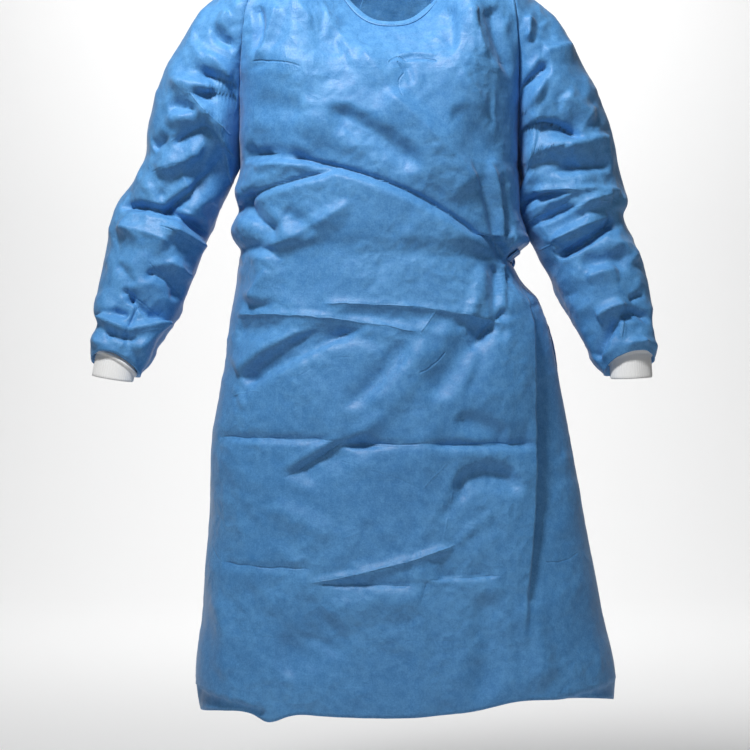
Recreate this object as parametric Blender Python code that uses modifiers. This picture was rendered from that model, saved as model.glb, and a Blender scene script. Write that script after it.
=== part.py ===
"""Worn surgical gown, hollow, held up at the shoulders.

Metres, +Z up, the front faces -Y. The origin is where the wearer's shoulders carry the
neck: near the centre line, level with the high points of the shoulder seams. Tables are
in millimetres. The wearer's right is the -X side.
"""

from collections import namedtuple

import bmesh
import bpy
import numpy as np

MM = 0.001
CLOTH_THICKNESS = 1.7
KNIT_THICKNESS = 1.8
SEAM_GAP = 0.35  # between the edges of two pieces that are sewn together
SHOULDER_GAP = 0.9  # more where two walls lean towards each other
ARMHOLE_GAP = 0.8
LAYER_DROP = 4.6  # how far the inner back panel lies inside the outer one

CHEST_HEIGHT = -325.0  # level of the armpits
HEM_HEIGHT = -1127.0  # middle of the front hem
SQUARENESS = 0.8  # 1 gives an oval section, less gives a flatter front

NECK_MIDDLE = 16.0
NECK_HALF_WIDTH = 104.0
NECK_FRONT_DROP = 129.0
NECK_BACK_DROP = 22.0
NECK_FRONT_REACH = 96.0
NECK_BACK_REACH = 70.0
NECK_CURVE = 2.6
NECK_SHARE = 0.42  # share of a panel's half width that the neckline takes
SHOULDER_TIP_RIGHT = (-166.0, 6.0, -32.0)
SHOULDER_TIP_LEFT = (180.0, 6.0, -38.0)
ARMHOLE_FRONT_BULGE = -84.0  # how far the armhole's edge stands before the side seam
ARMHOLE_BACK_BULGE = 74.0
ARMHOLE_FRONT_SPREAD = 3.5  # more keeps the bulge closer to the armhole
ARMHOLE_BACK_SPREAD = 2.4

# One row for each level of the body: its outline seen from the front and from the side.
Section = namedtuple("Section", "z right_side left_side front back")
BODY = [
    Section(-1140, -268, 344, -170, 163),
    Section(-1107, -274, 350, -172, 166),
    Section(-980, -265, 330, -168, 160),
    Section(-869, -257, 309, -163, 154),
    Section(-716, -248, 281, -158, 145),
    Section(-605, -229, 259, -152, 135),
    Section(-548, -223, 245, -148, 129),
    Section(-521, -218, 234, -145, 125),
    Section(-503, -215, 216, -142, 121),
    Section(-480, -213, 202, -138, 117),
    Section(-465, -210, 196, -136, 115),
    Section(-450, -208, 207, -140, 119),
    Section(-440, -216, 218, -144, 121),
    Section(-424, -223, 222, -147, 122),
    Section(-393, -212, 213, -150, 124),
    Section(-362, -217, 209, -153, 125),
    Section(-340, -211, 207, -153, 125),
    Section(-325, -209, 206, -152, 125),
]

# The pleat below the tie: where its ridge stands, in degrees from the front, and its depth.
Pleat = namedtuple("Pleat", "z degrees depth")
SIDE_PLEAT = [
    Pleat(-1140, 40, 0),
    Pleat(-1010, 40, 6),
    Pleat(-920, 41, 14),
    Pleat(-868, 43, 18),
    Pleat(-750, 50, 22),
    Pleat(-675, 56, 21),
    Pleat(-605, 61, 18),
    Pleat(-555, 68, 13),
    Pleat(-520, 70, 6),
    Pleat(-480, 62, 0),
    Pleat(-325, 56, 0),
]
PLEAT_COLUMN = 0.62  # share of the front's half width at which the ridge stands
PLEAT_RISE = 0.035  # share over which the ridge drops to the pleat's bottom

# The hem: how far it hangs below its middle, across each panel from -X to +X.
Hem = namedtuple("Hem", "u lift")
FRONT_HEM = [
    Hem(-1.0, -13),
    Hem(-0.82, -13),
    Hem(-0.58, -10),
    Hem(-0.45, -19),
    Hem(-0.31, -4),
    Hem(0.0, 0),
    Hem(0.30, 2),
    Hem(0.62, 8),
    Hem(0.85, 8),
    Hem(1.0, 4),
]
BACK_HEM = [Hem(-1.0, -13), Hem(-0.4, -5), Hem(0.3, -2), Hem(1.0, 4)]

# Free edges of the back panels, as shares of the back's half width, and the column that
# starts at the neck's left corner.
FlapEdge = namedtuple("FlapEdge", "z outer inner corner")
FLAP_EDGES = [
    FlapEdge(-1140, 0.60, -0.30, 0.78),
    FlapEdge(-800, 0.68, -0.30, 0.82),
    FlapEdge(-465, 0.72, -0.30, 0.84),
    FlapEdge(-325, 0.50, -0.22, 0.72),
    FlapEdge(0, 0.24, -0.12, 0.42),
]

# Rows of a panel: shares of the way from its top edge to the armpits, then heights.
YOKE_ROWS = [0, 0.07, 0.15, 0.24, 0.34, 0.45, 0.56, 0.67, 0.78, 0.89, 1.0]
SKIRT_ROWS = [
    -350, -372, -390, -406, -422, -436, -450, -476, -494, -514, -540, -570, -605, -640,
    -675, -708, -728, -748, -800, -850, -896, -915, -934, -990, -1045, -1092, -1127,
]
TIE_ROW = len(YOKE_ROWS) + SKIRT_ROWS.index(-450)

# Columns of each panel: how many steps lie between its stops.
FRONT_STEPS = [8, 14, 3, 1, 6]  # side, neck, neck's other corner, pleat, its bottom, side
OUTER_STEPS = [6, 3, 5]  # side, neck, the inner flap's edge, own edge
INNER_STEPS = [5, 2, 4]  # own edge, the outer flap's edge, neck, side

# A fold is a ridge (+) or trough (-) along a slightly bowed line, in millimetres as seen
# from the front; on the back, as seen through the gown from the front.
Fold = namedtuple("Fold", "x1 z1 x2 z2 bow above below height")
FRONT_FOLDS = [
    Fold(-190, -290, 176, -420, 30, 42, 26, 15),
    Fold(-204, -316, 186, -464, 26, 28, 44, -18),
    Fold(-190, -374, -60, -338, 8, 22, 26, -11),
    Fold(-190, -398, -20, -368, 12, 26, 34, 11),
    Fold(-200, -402, -140, -446, -6, 24, 28, -9),
    Fold(-168, -452, -184, -540, 10, 34, 34, 11),
    Fold(-64, -104, 12, -200, -10, 26, 34, -12),
    Fold(-92, -106, -52, -200, 6, 32, 28, 11),
    Fold(98, -108, 106, -186, 4, 28, 28, -9),
    Fold(124, -112, 154, -190, -4, 24, 28, 9),
    Fold(-100, -270, 96, -352, 12, 50, 44, -11),
    Fold(10, -262, 132, -384, -10, 32, 32, 9),
    Fold(-204, -644, -84, -556, 8, 38, 42, -11),
    Fold(-194, -662, 4, -588, 10, 34, 44, 11),
    Fold(60, -680, 150, -560, -6, 44, 44, -11),
    Fold(172, -476, 158, -580, 4, 24, 24, -12),
    Fold(96, -778, 206, -802, 22, 54, 64, -12),
    Fold(-120, -790, 0, -728, 6, 28, 34, -8),
    Fold(-60, -924, 90, -898, 4, 28, 30, 9),
    Fold(-150, -1060, -40, -1000, 12, 54, 54, -8),
    Fold(150, -940, 140, -1120, 6, 40, 40, -8),
    Fold(-232, -728, 226, -736, 0, 17, 17, -5),
    Fold(-232, -914, 190, -922, 0, 17, 17, -5),
]
BACK_FOLDS = [
    Fold(-205, -330, 110, -448, 18, 36, 42, -12),
    Fold(-190, -296, 120, -408, 18, 36, 32, 10),
    Fold(-200, -432, 90, -464, 6, 26, 26, -8),
    Fold(-196, -522, 96, -486, 8, 26, 32, -8),
    Fold(-150, -60, -90, -230, 8, 28, 32, -8),
    Fold(150, -64, 96, -230, -8, 32, 28, -8),
    Fold(-60, -60, -20, -260, 6, 30, 30, 6),
    Fold(104, -500, -110, -900, 30, 46, 46, -10),
    Fold(120, -500, 20, -1000, 20, 44, 44, 9),
    Fold(-170, -560, -208, -1140, 12, 46, 46, -9),
    Fold(-112, -640, -122, -1150, 8, 46, 46, 9),
    Fold(-40, -700, -30, -1150, 0, 46, 46, -9),
    Fold(70, -700, 110, -1150, 0, 46, 46, -9),
    Fold(160, -600, 214, -1150, -6, 44, 44, 9),
]

# Seen from the front: the outer and inner edge of the sleeve at each ring, the depth of
# its middle, and half its depth from front to back.
Ring = namedtuple("Ring", "outer_x outer_z inner_x inner_z middle_y half_depth")
SLEEVE_RIGHT = [
    Ring(-250, -76, -219, -346, -2, 82),
    Ring(-286, -122, -222, -352, -2, 82),
    Ring(-312, -166, -227, -361, 0, 80),
    Ring(-334, -218, -231, -371, 3, 78),
    Ring(-348, -268, -236, -382, 5, 77),
    Ring(-352, -308, -241, -394, 7, 76),
    Ring(-368, -344, -247, -408, 8, 75),
    Ring(-394, -378, -256, -428, 9, 74),
    Ring(-404, -416, -265, -452, 8, 72),
    Ring(-409, -460, -272, -480, 3, 70),
    Ring(-413, -508, -281, -510, -8, 65),
    Ring(-418, -546, -296, -548, -20, 57),
    Ring(-415, -566, -309, -568, -28, 50),
    Ring(-423, -588, -325, -592, -37, 44),
    Ring(-428, -601, -337, -616, -43, 42),
    Ring(-427, -613, -350, -634, -48, 39),
]
SLEEVE_LEFT = [
    Ring(250, -92, 216, -348, -2, 82),
    Ring(278, -128, 220, -356, -2, 82),
    Ring(300, -168, 223, -366, 0, 81),
    Ring(324, -216, 226, -378, 3, 79),
    Ring(345, -268, 228, -392, 6, 78),
    Ring(357, -322, 229, -410, 8, 77),
    Ring(368, -374, 229, -430, 9, 76),
    Ring(363, -402, 230, -450, 7, 74),
    Ring(371, -432, 237, -470, 3, 72),
    Ring(384, -470, 249, -492, -4, 70),
    Ring(393, -510, 260, -514, -13, 65),
    Ring(397, -546, 275, -549, -23, 57),
    Ring(398, -576, 290, -578, -33, 49),
    Ring(404, -593, 303, -600, -40, 43),
    Ring(409, -602, 314, -619, -44, 42),
    Ring(406, -612, 327, -634, -48, 39),
]
RIGHT_SLEEVE_FRONT = [
    Fold(-268, -166, -214, -206, -5, 26, 24, 7),
    Fold(-282, -190, -208, -230, -3, 24, 24, -8),
    Fold(-345, -326, -268, -300, 0, 26, 30, -7),
    Fold(-386, -384, -256, -424, 10, 24, 26, -9),
    Fold(-350, -466, -290, -534, 8, 26, 34, -7),
    Fold(-408, -584, -326, -590, -4, 18, 18, -5),
]
LEFT_SLEEVE_FRONT = [
    Fold(206, -236, 256, -176, -4, 22, 26, -9),
    Fold(202, -296, 310, -290, 20, 24, 34, -9),
    Fold(208, -390, 304, -372, 6, 22, 26, -7),
    Fold(246, -424, 358, -386, -4, 22, 24, 7),
    Fold(252, -456, 350, -410, 4, 22, 28, -8),
    Fold(318, -584, 396, -574, 14, 18, 20, -6),
]
RIGHT_SLEEVE_BACK = [
    Fold(-206, -150, -300, -190, 6, 28, 30, -7),
    Fold(-216, -300, -340, -320, 8, 26, 30, -8),
    Fold(-266, -372, -388, -376, -8, 26, 28, -8),
    Fold(-270, -414, -400, -428, -8, 26, 28, 7),
    Fold(-340, -520, -410, -586, 6, 26, 28, -6),
]
LEFT_SLEEVE_BACK = [
    Fold(208, -150, 300, -200, 6, 28, 30, -7),
    Fold(220, -310, 346, -330, 6, 26, 30, -8),
    Fold(246, -386, 366, -394, -6, 26, 28, -8),
    Fold(254, -428, 372, -444, -6, 26, 28, 7),
    Fold(318, -530, 396, -594, -6, 26, 28, -6),
]
SLEEVE_ROWS = 26  # rings of points along a sleeve, between its armhole and its end

# A knitted cuff's axis, from its hidden top to its bottom edge.
Cuff = namedtuple("Cuff", "top_x top_y top_z bottom_x bottom_y bottom_z")
CUFF_RIGHT = Cuff(-386, -47, -597, -394, -56, -645)
CUFF_LEFT = Cuff(368, -47, -596, 370, -56, -643)
CUFF_HALF_WIDTH = 30.0
CUFF_HALF_DEPTH = 25.0
CUFF_RIBS = 30
CUFF_RIB_HEIGHT = 0.8
CUFF_SEAM_SHARE = 0.3  # how far down the cuff the sleeve is sewn round it
CUFF_SEAM_CLEARANCE = 1.0

BINDING_WIDTH = 9.0
BINDING_GAP = 1.1
FASTENER_THICKNESS = 1.9
LAID_GAP = 0.7  # between a panel and a strip that lies on it
TIE_THICKNESS = 1.4

# Where the tie's pieces lie on the panels' rows and columns.
TIE_ROWS = [TIE_ROW + 0.08, TIE_ROW + 0.92]
FRONT_TIE_ON_FRONT = [25, 26, 27, 28, 29, 30, 31, 32]
FRONT_TIE_ON_BACK = [10, 9, 8.1]
FLAP_TIE_ON_OUTER = [12.3, 13, 14]
FLAP_TIE_ON_INNER = [5.6, 6.2]
FLAP_STEP = 3.0  # how far the tie stands off the inner flap beside the outer flap's edge
KNOT_PLACE = (TIE_ROW + 0.5, 7.0)
KNOT_HALF_SIZES = (8.0, 13.0, 10.0)
KNOT_GAP = 0.6

# The tie's tails: how many rows below the tie, and the columns of their two edges.
TailRow = namedtuple("TailRow", "below near far")
LONG_TAIL = [
    TailRow(-0.2, 7.1, 7.6),
    TailRow(0.05, 7.1, 7.9),
    TailRow(0.5, 7.1, 8.6),
    TailRow(1, 7.1, 9.1),
    TailRow(2, 7.2, 9.3),
    TailRow(3, 7.3, 9.3),
    TailRow(4, 7.4, 9.3),
    TailRow(5, 7.5, 9.3),
    TailRow(6, 7.6, 9.3),
    TailRow(7, 7.6, 9.3),
    TailRow(8, 7.6, 9.3),
    TailRow(8.6, 7.6, 9.3),
]
SHORT_TAIL = [
    TailRow(-0.2, 6.4, 6.95),
    TailRow(0.05, 6.25, 6.95),
    TailRow(0.5, 5.9, 6.95),
    TailRow(1, 5.5, 6.95),
    TailRow(2, 5.4, 6.95),
    TailRow(3, 5.4, 6.95),
    TailRow(4, 5.5, 6.95),
    TailRow(5, 5.5, 6.95),
    TailRow(6, 5.6, 6.95),
    TailRow(7, 5.6, 6.95),
]

BLUE = (0.075, 0.235, 0.52, 1.0)
PALE_BLUE = (0.2, 0.42, 0.68, 1.0)
WHITE_KNIT = (0.78, 0.78, 0.77, 1.0)


def read_table(rows, column, at):
    """A column of a table on a smooth curve over its first column, read at `at`."""
    keys = np.array([row[0] for row in rows], float)
    values = np.array([getattr(row, column) for row in rows], float)
    slopes = np.gradient(values, keys)
    at = np.clip(at, keys[0], keys[-1])
    row = np.clip(np.searchsorted(keys, at) - 1, 0, len(keys) - 2)
    span = keys[row + 1] - keys[row]
    t = (at - keys[row]) / span
    start = (1 + 2 * t) * (1 - t) ** 2 * values[row] + t * (1 - t) ** 2 * span * slopes[row]
    end = t * t * (3 - 2 * t) * values[row + 1] + t * t * (t - 1) * span * slopes[row + 1]
    return start + end


def smooth_step(t):
    """0 below 0, 1 above 1, and a soft S between."""
    t = np.clip(t, 0.0, 1.0)
    return t * t * (3 - 2 * t)


def signed_power(value, power):
    return np.sign(value) * np.abs(value) ** power


def unit(vectors):
    return vectors / np.maximum(np.linalg.norm(vectors, axis=-1, keepdims=True), 1e-9)


def relief(x, z, folds):
    """Height of the folds at points seen at (x, z)."""
    total = np.zeros_like(x)
    for fold in folds:
        run = np.array([fold.x2 - fold.x1, fold.z2 - fold.z1], float)
        length = np.hypot(*run)
        ahead = run / length
        share = ((x - fold.x1) * ahead[0] + (z - fold.z1) * ahead[1]) / length
        aside = (z - fold.z1) * ahead[0] - (x - fold.x1) * ahead[1]
        aside = aside - fold.bow * 4 * share * (1 - share)
        reach = np.where(aside > 0, fold.above, fold.below)
        across = smooth_step(1 - np.abs(aside) / reach)
        along = smooth_step(share / 0.2) * smooth_step((1 - share) / 0.2)
        total += fold.height * across * along
    return total


def ring_point(turn, z):
    """A point of the body's section at height z, `turn` radians round from the front."""
    right = read_table(BODY, "right_side", z)
    left = read_table(BODY, "left_side", z)
    ahead, aside = np.cos(turn), np.sin(turn)
    front, back = read_table(BODY, "front", z), read_table(BODY, "back", z)
    depth = np.where(ahead > 0, -front, back)
    x = (left + right) / 2 + (left - right) / 2 * signed_power(aside, SQUARENESS)
    y = -depth * signed_power(ahead, SQUARENESS)
    return np.stack([x, y, z], axis=-1)


def top_edge(u, side):
    """The neckline and shoulder seams; u runs from -1 to 1 across a panel."""
    s = np.clip(u / NECK_SHARE, -1, 1)
    if side == "front":
        drop, reach, curve = NECK_FRONT_DROP, -NECK_FRONT_REACH, NECK_CURVE
    else:
        drop, reach, curve = NECK_BACK_DROP, NECK_BACK_REACH, 2.0
    x = NECK_MIDDLE + NECK_HALF_WIDTH * s
    y = 6.0 + reach * np.sqrt(np.clip(1 - s * s, 0, 1))
    z = -drop * (1 - np.abs(s) ** curve)
    neck = np.stack([x, y, z], axis=-1)
    tip = np.where(u[..., None] < 0, SHOULDER_TIP_RIGHT, SHOULDER_TIP_LEFT)
    share = np.clip((np.abs(u) - NECK_SHARE) / (1 - NECK_SHARE), 0, 1)[..., None]
    return neck + (tip - neck) * share


def front_turn(u, z):
    """Angle of the front's column u: the pleat's ridge stays on one column."""
    ridge = np.radians(read_table(SIDE_PLEAT, "degrees", z))
    inside = u / PLEAT_COLUMN * ridge
    outside = ridge + (u - PLEAT_COLUMN) / (1 - PLEAT_COLUMN) * (np.pi / 2 - ridge)
    return np.where(u < 0, u * np.pi / 2, np.where(u < PLEAT_COLUMN, inside, outside))


def panel_base(u, down, side):
    """The smooth panel: down is 0 at the top edge, 1 at the armpits and 2 at the hem."""
    table = FRONT_HEM if side == "front" else BACK_HEM
    hem = HEM_HEIGHT + read_table(table, "lift", u)
    z = CHEST_HEIGHT + (hem - CHEST_HEIGHT) * np.clip(down - 1, 0, 1)
    chest = np.full_like(z, CHEST_HEIGHT)
    if side == "front":
        skirt, line = ring_point(front_turn(u, z), z), ring_point(front_turn(u, chest), chest)
    else:
        turn = np.pi - u * np.pi / 2
        skirt, line = ring_point(turn, z), ring_point(turn, chest)
    t = np.clip(down, 0, 1)
    top = top_edge(u, side)
    # Over the shoulder the panel starts level, so that front and back meet in a round.
    rounding = 1 + 0.8 * smooth_step((np.abs(u) - 0.2) / 0.22)
    share = np.stack([1 - (1 - t) ** 2.2, 1 - (1 - t) ** 2.6, t**rounding], axis=-1)
    yoke = top + (line - top) * share
    bulge, spread = ARMHOLE_BACK_BULGE, ARMHOLE_BACK_SPREAD
    if side == "front":
        bulge, spread = ARMHOLE_FRONT_BULGE, ARMHOLE_FRONT_SPREAD
    yoke[..., 1] += bulge * np.sin(np.pi * t**0.85) * np.abs(u) ** spread
    return np.where(down[..., None] <= 1, yoke, skirt)


def panel_normal(u, down, side):
    """Outward normals of the smooth panel, from its own points close by."""
    step = 0.004
    right, left = np.clip(u + step, -1, 1), np.clip(u - step, -1, 1)
    lower, upper = np.clip(down + step, 0, 2), np.clip(down - step, 0, 2)
    across = panel_base(right, down, side) - panel_base(left, down, side)
    along = panel_base(u, lower, side) - panel_base(u, upper, side)
    return unit(np.cross(across, along)) * (-1 if side == "front" else 1)


def pleat_depth(u, z):
    """How far the cloth beside the pleat's ridge falls back."""
    fall = smooth_step((u - PLEAT_COLUMN) / PLEAT_RISE)
    rise = smooth_step((0.96 - u) / (0.96 - PLEAT_COLUMN - PLEAT_RISE))
    return read_table(SIDE_PLEAT, "depth", z) * fall * rise


def panel_point(u, down, side, out=0.0):
    """A point of the draped panel, `out` outside it."""
    point = panel_base(u, down, side)
    folds = FRONT_FOLDS if side == "front" else BACK_FOLDS
    height = relief(point[..., 0], point[..., 2], folds)
    height = height * smooth_step((1 - np.abs(u)) / 0.1) * smooth_step(down / 0.25)
    if side == "front":
        height = height - pleat_depth(u, point[..., 2])
    return point + panel_normal(u, down, side) * (height + out)[..., None]


def row_levels():
    """The panels' rows, as values of down."""
    below = [1 + (z - CHEST_HEIGHT) / (HEM_HEIGHT - CHEST_HEIGHT) for z in SKIRT_ROWS]
    return np.array(YOKE_ROWS + below)


def stations(stops, steps):
    """Columns between stops, each stop an array over the rows."""
    columns = [stops[0]]
    for start, end, count in zip(stops, stops[1:], steps):
        columns += [start + (end - start) * (k + 1) / count for k in range(count)]
    return np.stack(columns, axis=-1)


def flap_edge(column, down):
    """Where an edge of the flaps lies at each row."""
    below = CHEST_HEIGHT + (HEM_HEIGHT - CHEST_HEIGHT) * (down - 1)
    return read_table(FLAP_EDGES, column, np.where(down < 1, CHEST_HEIGHT * down, below))


def front_points():
    """The front panel's points, in rows from the top and columns from -X to +X."""
    down = row_levels()
    edges = [-1, -NECK_SHARE, NECK_SHARE, PLEAT_COLUMN, PLEAT_COLUMN + PLEAT_RISE, 1]
    u = stations([np.full_like(down, edge) for edge in edges], FRONT_STEPS)
    return panel_point(u, np.broadcast_to(down[:, None], u.shape), "front")


def outer_back_points():
    """The back panel from the -X side seam to its free edge."""
    down = row_levels()
    seam, neck = np.full_like(down, -1.0), np.full_like(down, -NECK_SHARE)
    stops = [seam, neck, flap_edge("inner", down), flap_edge("outer", down)]
    u = stations(stops, OUTER_STEPS)
    return panel_point(u, np.broadcast_to(down[:, None], u.shape), "back")


def inner_back_points():
    """The back panel from its free edge, under the outer one, to the +X side seam."""
    down = row_levels()
    outer = flap_edge("outer", down)
    stops = [flap_edge("inner", down), outer, flap_edge("corner", down), np.full_like(down, 1.0)]
    u = stations(stops, INNER_STEPS)
    # Beside the side seam the panel is flush with the front.
    under = smooth_step((0.97 - u) / np.maximum(0.93 - outer, 0.14)[:, None])
    return panel_point(u, np.broadcast_to(down[:, None], u.shape), "back", -LAYER_DROP * under)


def drawn_back(points, edge, gap):
    """The points with the first (0) or last (-1) row pulled in by the gap."""
    moved = points.copy()
    inside = points[1] if edge == 0 else points[-2]
    moved[edge] = points[edge] + unit(inside - points[edge]) * gap
    return moved


def drawn_aside(points, edge, gap):
    """The same for the first or last column."""
    return np.swapaxes(drawn_back(np.swapaxes(points, 0, 1), edge, gap), 0, 1)


def armhole_loop(panels, column):
    """The loop that a sleeve is sewn to: down the front's edge and up the back's."""
    front, back = panels["front"], panels["back_outer" if column == 0 else "back_inner"]
    deep = len(YOKE_ROWS)
    return np.concatenate([front[:deep, column], back[deep - 2 : 0 : -1, column]])


def sleeve_points(rows, loop, cuff, front_folds, back_folds):
    """The sleeve's points in rings, from its armhole to the end sewn round the cuff."""
    even = np.arange(len(loop)) / len(loop) * 2 * np.pi
    centre, reach = (loop.max(axis=0) + loop.min(axis=0)) / 2, np.ptp(loop, axis=0) / 2
    polar = np.arctan2(-(loop - centre)[:, 1] / reach[1], (loop - centre)[:, 2] / reach[2])
    polar = even + np.mod(polar - even + np.pi, 2 * np.pi) - np.pi
    outer = np.array([(r.outer_x, r.middle_y, r.outer_z) for r in rows], float)
    inner = np.array([(r.inner_x, r.middle_y, r.inner_z) for r in rows], float)
    middle, major = (outer + inner) / 2, (outer - inner) / 2
    ahead = unit(np.gradient(middle, axis=0))
    forward = unit(np.cross(ahead, major))
    forward *= -np.sign(forward[:, 1:2])
    depth = np.array([row.half_depth for row in rows], float)
    rings = [loop]
    for k in range(len(rows)):
        # The first rings keep the armhole's own spacing, so that the cloth isn't twisted.
        around = polar + (even - polar) * smooth_step((k + 1) / 6)
        wide = major[k] * signed_power(np.cos(around), 0.92)[:, None]
        deep = forward[k] * depth[k] * signed_power(np.sin(around), 0.92)[:, None]
        rings.append(middle[k] + wide + deep)
    rings = np.array(rings)
    slopes = np.gradient(rings, axis=0)
    last = len(rings) - 1
    along = np.linspace(0, last, SLEEVE_ROWS)
    row = np.clip(np.floor(along).astype(int), 0, last - 1)
    t = (along - row)[:, None, None]
    start = (1 + 2 * t) * (1 - t) ** 2 * rings[row] + t * (1 - t) ** 2 * slopes[row]
    end = t * t * (3 - 2 * t) * rings[row + 1] + t * t * (t - 1) * slopes[row + 1]
    points = start + end
    normal = unit(points - points.mean(axis=1, keepdims=True))
    front = relief(points[..., 0], points[..., 2], front_folds)
    back = relief(points[..., 0], points[..., 2], back_folds)
    facing = normal[..., 1] * 1.4
    height = front * smooth_step(-facing) + back * smooth_step(facing)
    fade = smooth_step(along / 1.5) * smooth_step((last - along) / 1.5)
    points = points + normal * (height * fade[:, None])[..., None]
    hem = cuff_ring(cuff, even, CUFF_SEAM_SHARE, CUFF_SEAM_CLEARANCE)
    return np.concatenate([points, hem[None]])


def cuff_ring(cuff, around, share, extra):
    """A ring of the cuff, `share` of the way down it and `extra` outside it."""
    top = np.array([cuff.top_x, cuff.top_y, cuff.top_z], float)
    bottom = np.array([cuff.bottom_x, cuff.bottom_y, cuff.bottom_z], float)
    axis = unit(bottom - top)
    wide = unit(np.array([np.sign(top[0]), 0.0, 0.0]) - axis * axis[0] * np.sign(top[0]))
    deep = np.cross(axis, wide)
    deep *= -np.sign(deep[1])
    half_width, half_depth = CUFF_HALF_WIDTH + extra, CUFF_HALF_DEPTH + extra
    across = (half_width * np.cos(around))[:, None] * wide
    return top + (bottom - top) * share + across + (half_depth * np.sin(around))[:, None] * deep


def surface_normals(points):
    """Normals of a grid of points, away from the body's middle."""
    down, across = np.gradient(points, axis=0), np.gradient(points, axis=1)
    normal = unit(np.cross(down, across))
    away = points - np.array([NECK_MIDDLE, 0.0, 0.0])
    away[..., 2] = np.maximum(away[..., 2] + 60.0, 0.0)
    return normal * np.where((normal * away).sum(axis=-1, keepdims=True) < 0, -1, 1)


def laid(points, rows, columns, out):
    """Points at fractional rows and columns of a grid of points, `out` outside it."""
    rows, columns, out = np.broadcast_arrays(rows, columns, out)
    r = np.clip(np.floor(rows).astype(int), 0, points.shape[0] - 2)
    c = np.clip(np.floor(columns).astype(int), 0, points.shape[1] - 2)
    a, b = (rows - r)[..., None], (columns - c)[..., None]
    normal = surface_normals(points)

    def blend(grid):
        near = grid[r, c] * (1 - b) + grid[r, c + 1] * b
        far = grid[r + 1, c] * (1 - b) + grid[r + 1, c + 1] * b
        return near * (1 - a) + far * a

    return blend(points) + unit(blend(normal)) * out[..., None]


def material(name, colour, roughness):
    """A plain cloth finish."""
    made = bpy.data.materials.new(name)
    made.use_nodes = True
    shader = made.node_tree.nodes["Principled BSDF"]
    shader.inputs["Base Color"].default_value = colour
    shader.inputs["Roughness"].default_value = roughness
    shader.inputs["Metallic"].default_value = 0.0
    return made


def add_piece(name, work, finish, collection):
    """An object made of the bmesh, which is freed."""
    mesh = bpy.data.meshes.new(name)
    work.to_mesh(mesh)
    work.free()
    mesh.materials.append(finish)
    piece = bpy.data.objects.new(name, mesh)
    collection.objects.link(piece)
    return piece


def face_outwards(mesh, points):
    """Turns a sheet over if its faces look at its own middle, or at the body's."""
    tube = np.allclose(points[:, 0], points[:, -1])
    middles = points.mean(axis=1)
    total = 0.0
    for face in mesh.polygons:
        place = np.array(face.center)
        middle = np.array([NECK_MIDDLE * MM, 0.0, min(place[2], CHEST_HEIGHT * MM / 2)])
        if tube:
            middle = middles[np.argmin(np.linalg.norm(middles - place, axis=1))]
        total += face.area * float(np.dot(np.array(face.normal), place - middle))
    if total < 0:
        mesh.flip_normals()


def cloth(name, points, finish, collection, thickness, offset=-1.0):
    """A sheet over rows and columns of points; a tube has equal first and last columns."""
    rows, columns = points.shape[0] - 1, points.shape[1] - 1
    work = bmesh.new()
    bmesh.ops.create_grid(work, x_segments=columns, y_segments=rows, size=1.0)
    for vert in work.verts:
        column = round((vert.co.x + 1) / 2 * columns)
        row = round((1 - vert.co.y) / 2 * rows)
        vert.co = points[row, column] * MM
    bmesh.ops.remove_doubles(work, verts=work.verts, dist=0.01 * MM)
    piece = add_piece(name, work, finish, collection)
    piece.data.shade_smooth()
    face_outwards(piece.data, points * MM)
    wall = piece.modifiers.new("Wall", "SOLIDIFY")
    wall.thickness = thickness * MM
    wall.offset = offset
    wall.use_quality_normals = True
    return piece


def make_panels(finish, collection):
    """The front and the two back panels, parted at their seams."""
    whole = {
        "front": front_points(),
        "back_outer": outer_back_points(),
        "back_inner": inner_back_points(),
    }
    for name, points in whole.items():
        points = drawn_back(points, 0, SHOULDER_GAP / 2)
        if name != "back_inner":
            points = drawn_aside(points, 0, SEAM_GAP / 2)
        if name != "back_outer":
            points = drawn_aside(points, -1, SEAM_GAP / 2)
        cloth(name, points, finish, collection, CLOTH_THICKNESS)
    return whole


def make_sleeve(name, rows, loop, cuff, folds, finish, collection):
    """A sleeve, parted from its armhole by the seam."""
    points = sleeve_points(rows, loop, cuff, *folds)
    points = drawn_back(points, 0, ARMHOLE_GAP)
    closed = np.concatenate([points, points[:, :1]], axis=1)
    return cloth(name, closed, finish, collection, CLOTH_THICKNESS)


def make_cuff(name, cuff, finish, collection):
    """A knitted cuff: ribs raised in the outer face of a plain tube."""
    around = np.arange(CUFF_RIBS * 2) / (CUFF_RIBS * 2) * 2 * np.pi
    ribs = (np.cos(around * CUFF_RIBS) - 1) / 2 * CUFF_RIB_HEIGHT
    plain = np.full_like(around, -KNIT_THICKNESS)
    # Down the outer face, then up the inner one.
    rings = [cuff_ring(cuff, around, share, 0.0) for share in (0.0, 1.0, 1.0, 0.0)]
    for ring, raised in zip(rings, (ribs, ribs, plain, plain)):
        ring += unit(ring - ring.mean(axis=0)) * raised[:, None]
    work = bmesh.new()
    bmesh.ops.create_grid(work, x_segments=len(around), y_segments=len(rings), size=1.0)
    for vert in work.verts:
        column = round((vert.co.x + 1) / 2 * len(around)) % len(around)
        row = round((vert.co.y + 1) / 2 * len(rings)) % len(rings)
        vert.co = rings[row][column] * MM
    bmesh.ops.remove_doubles(work, verts=work.verts, dist=0.01 * MM)
    bmesh.ops.recalc_face_normals(work, faces=work.faces)
    return add_piece(name, work, finish, collection)


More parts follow.
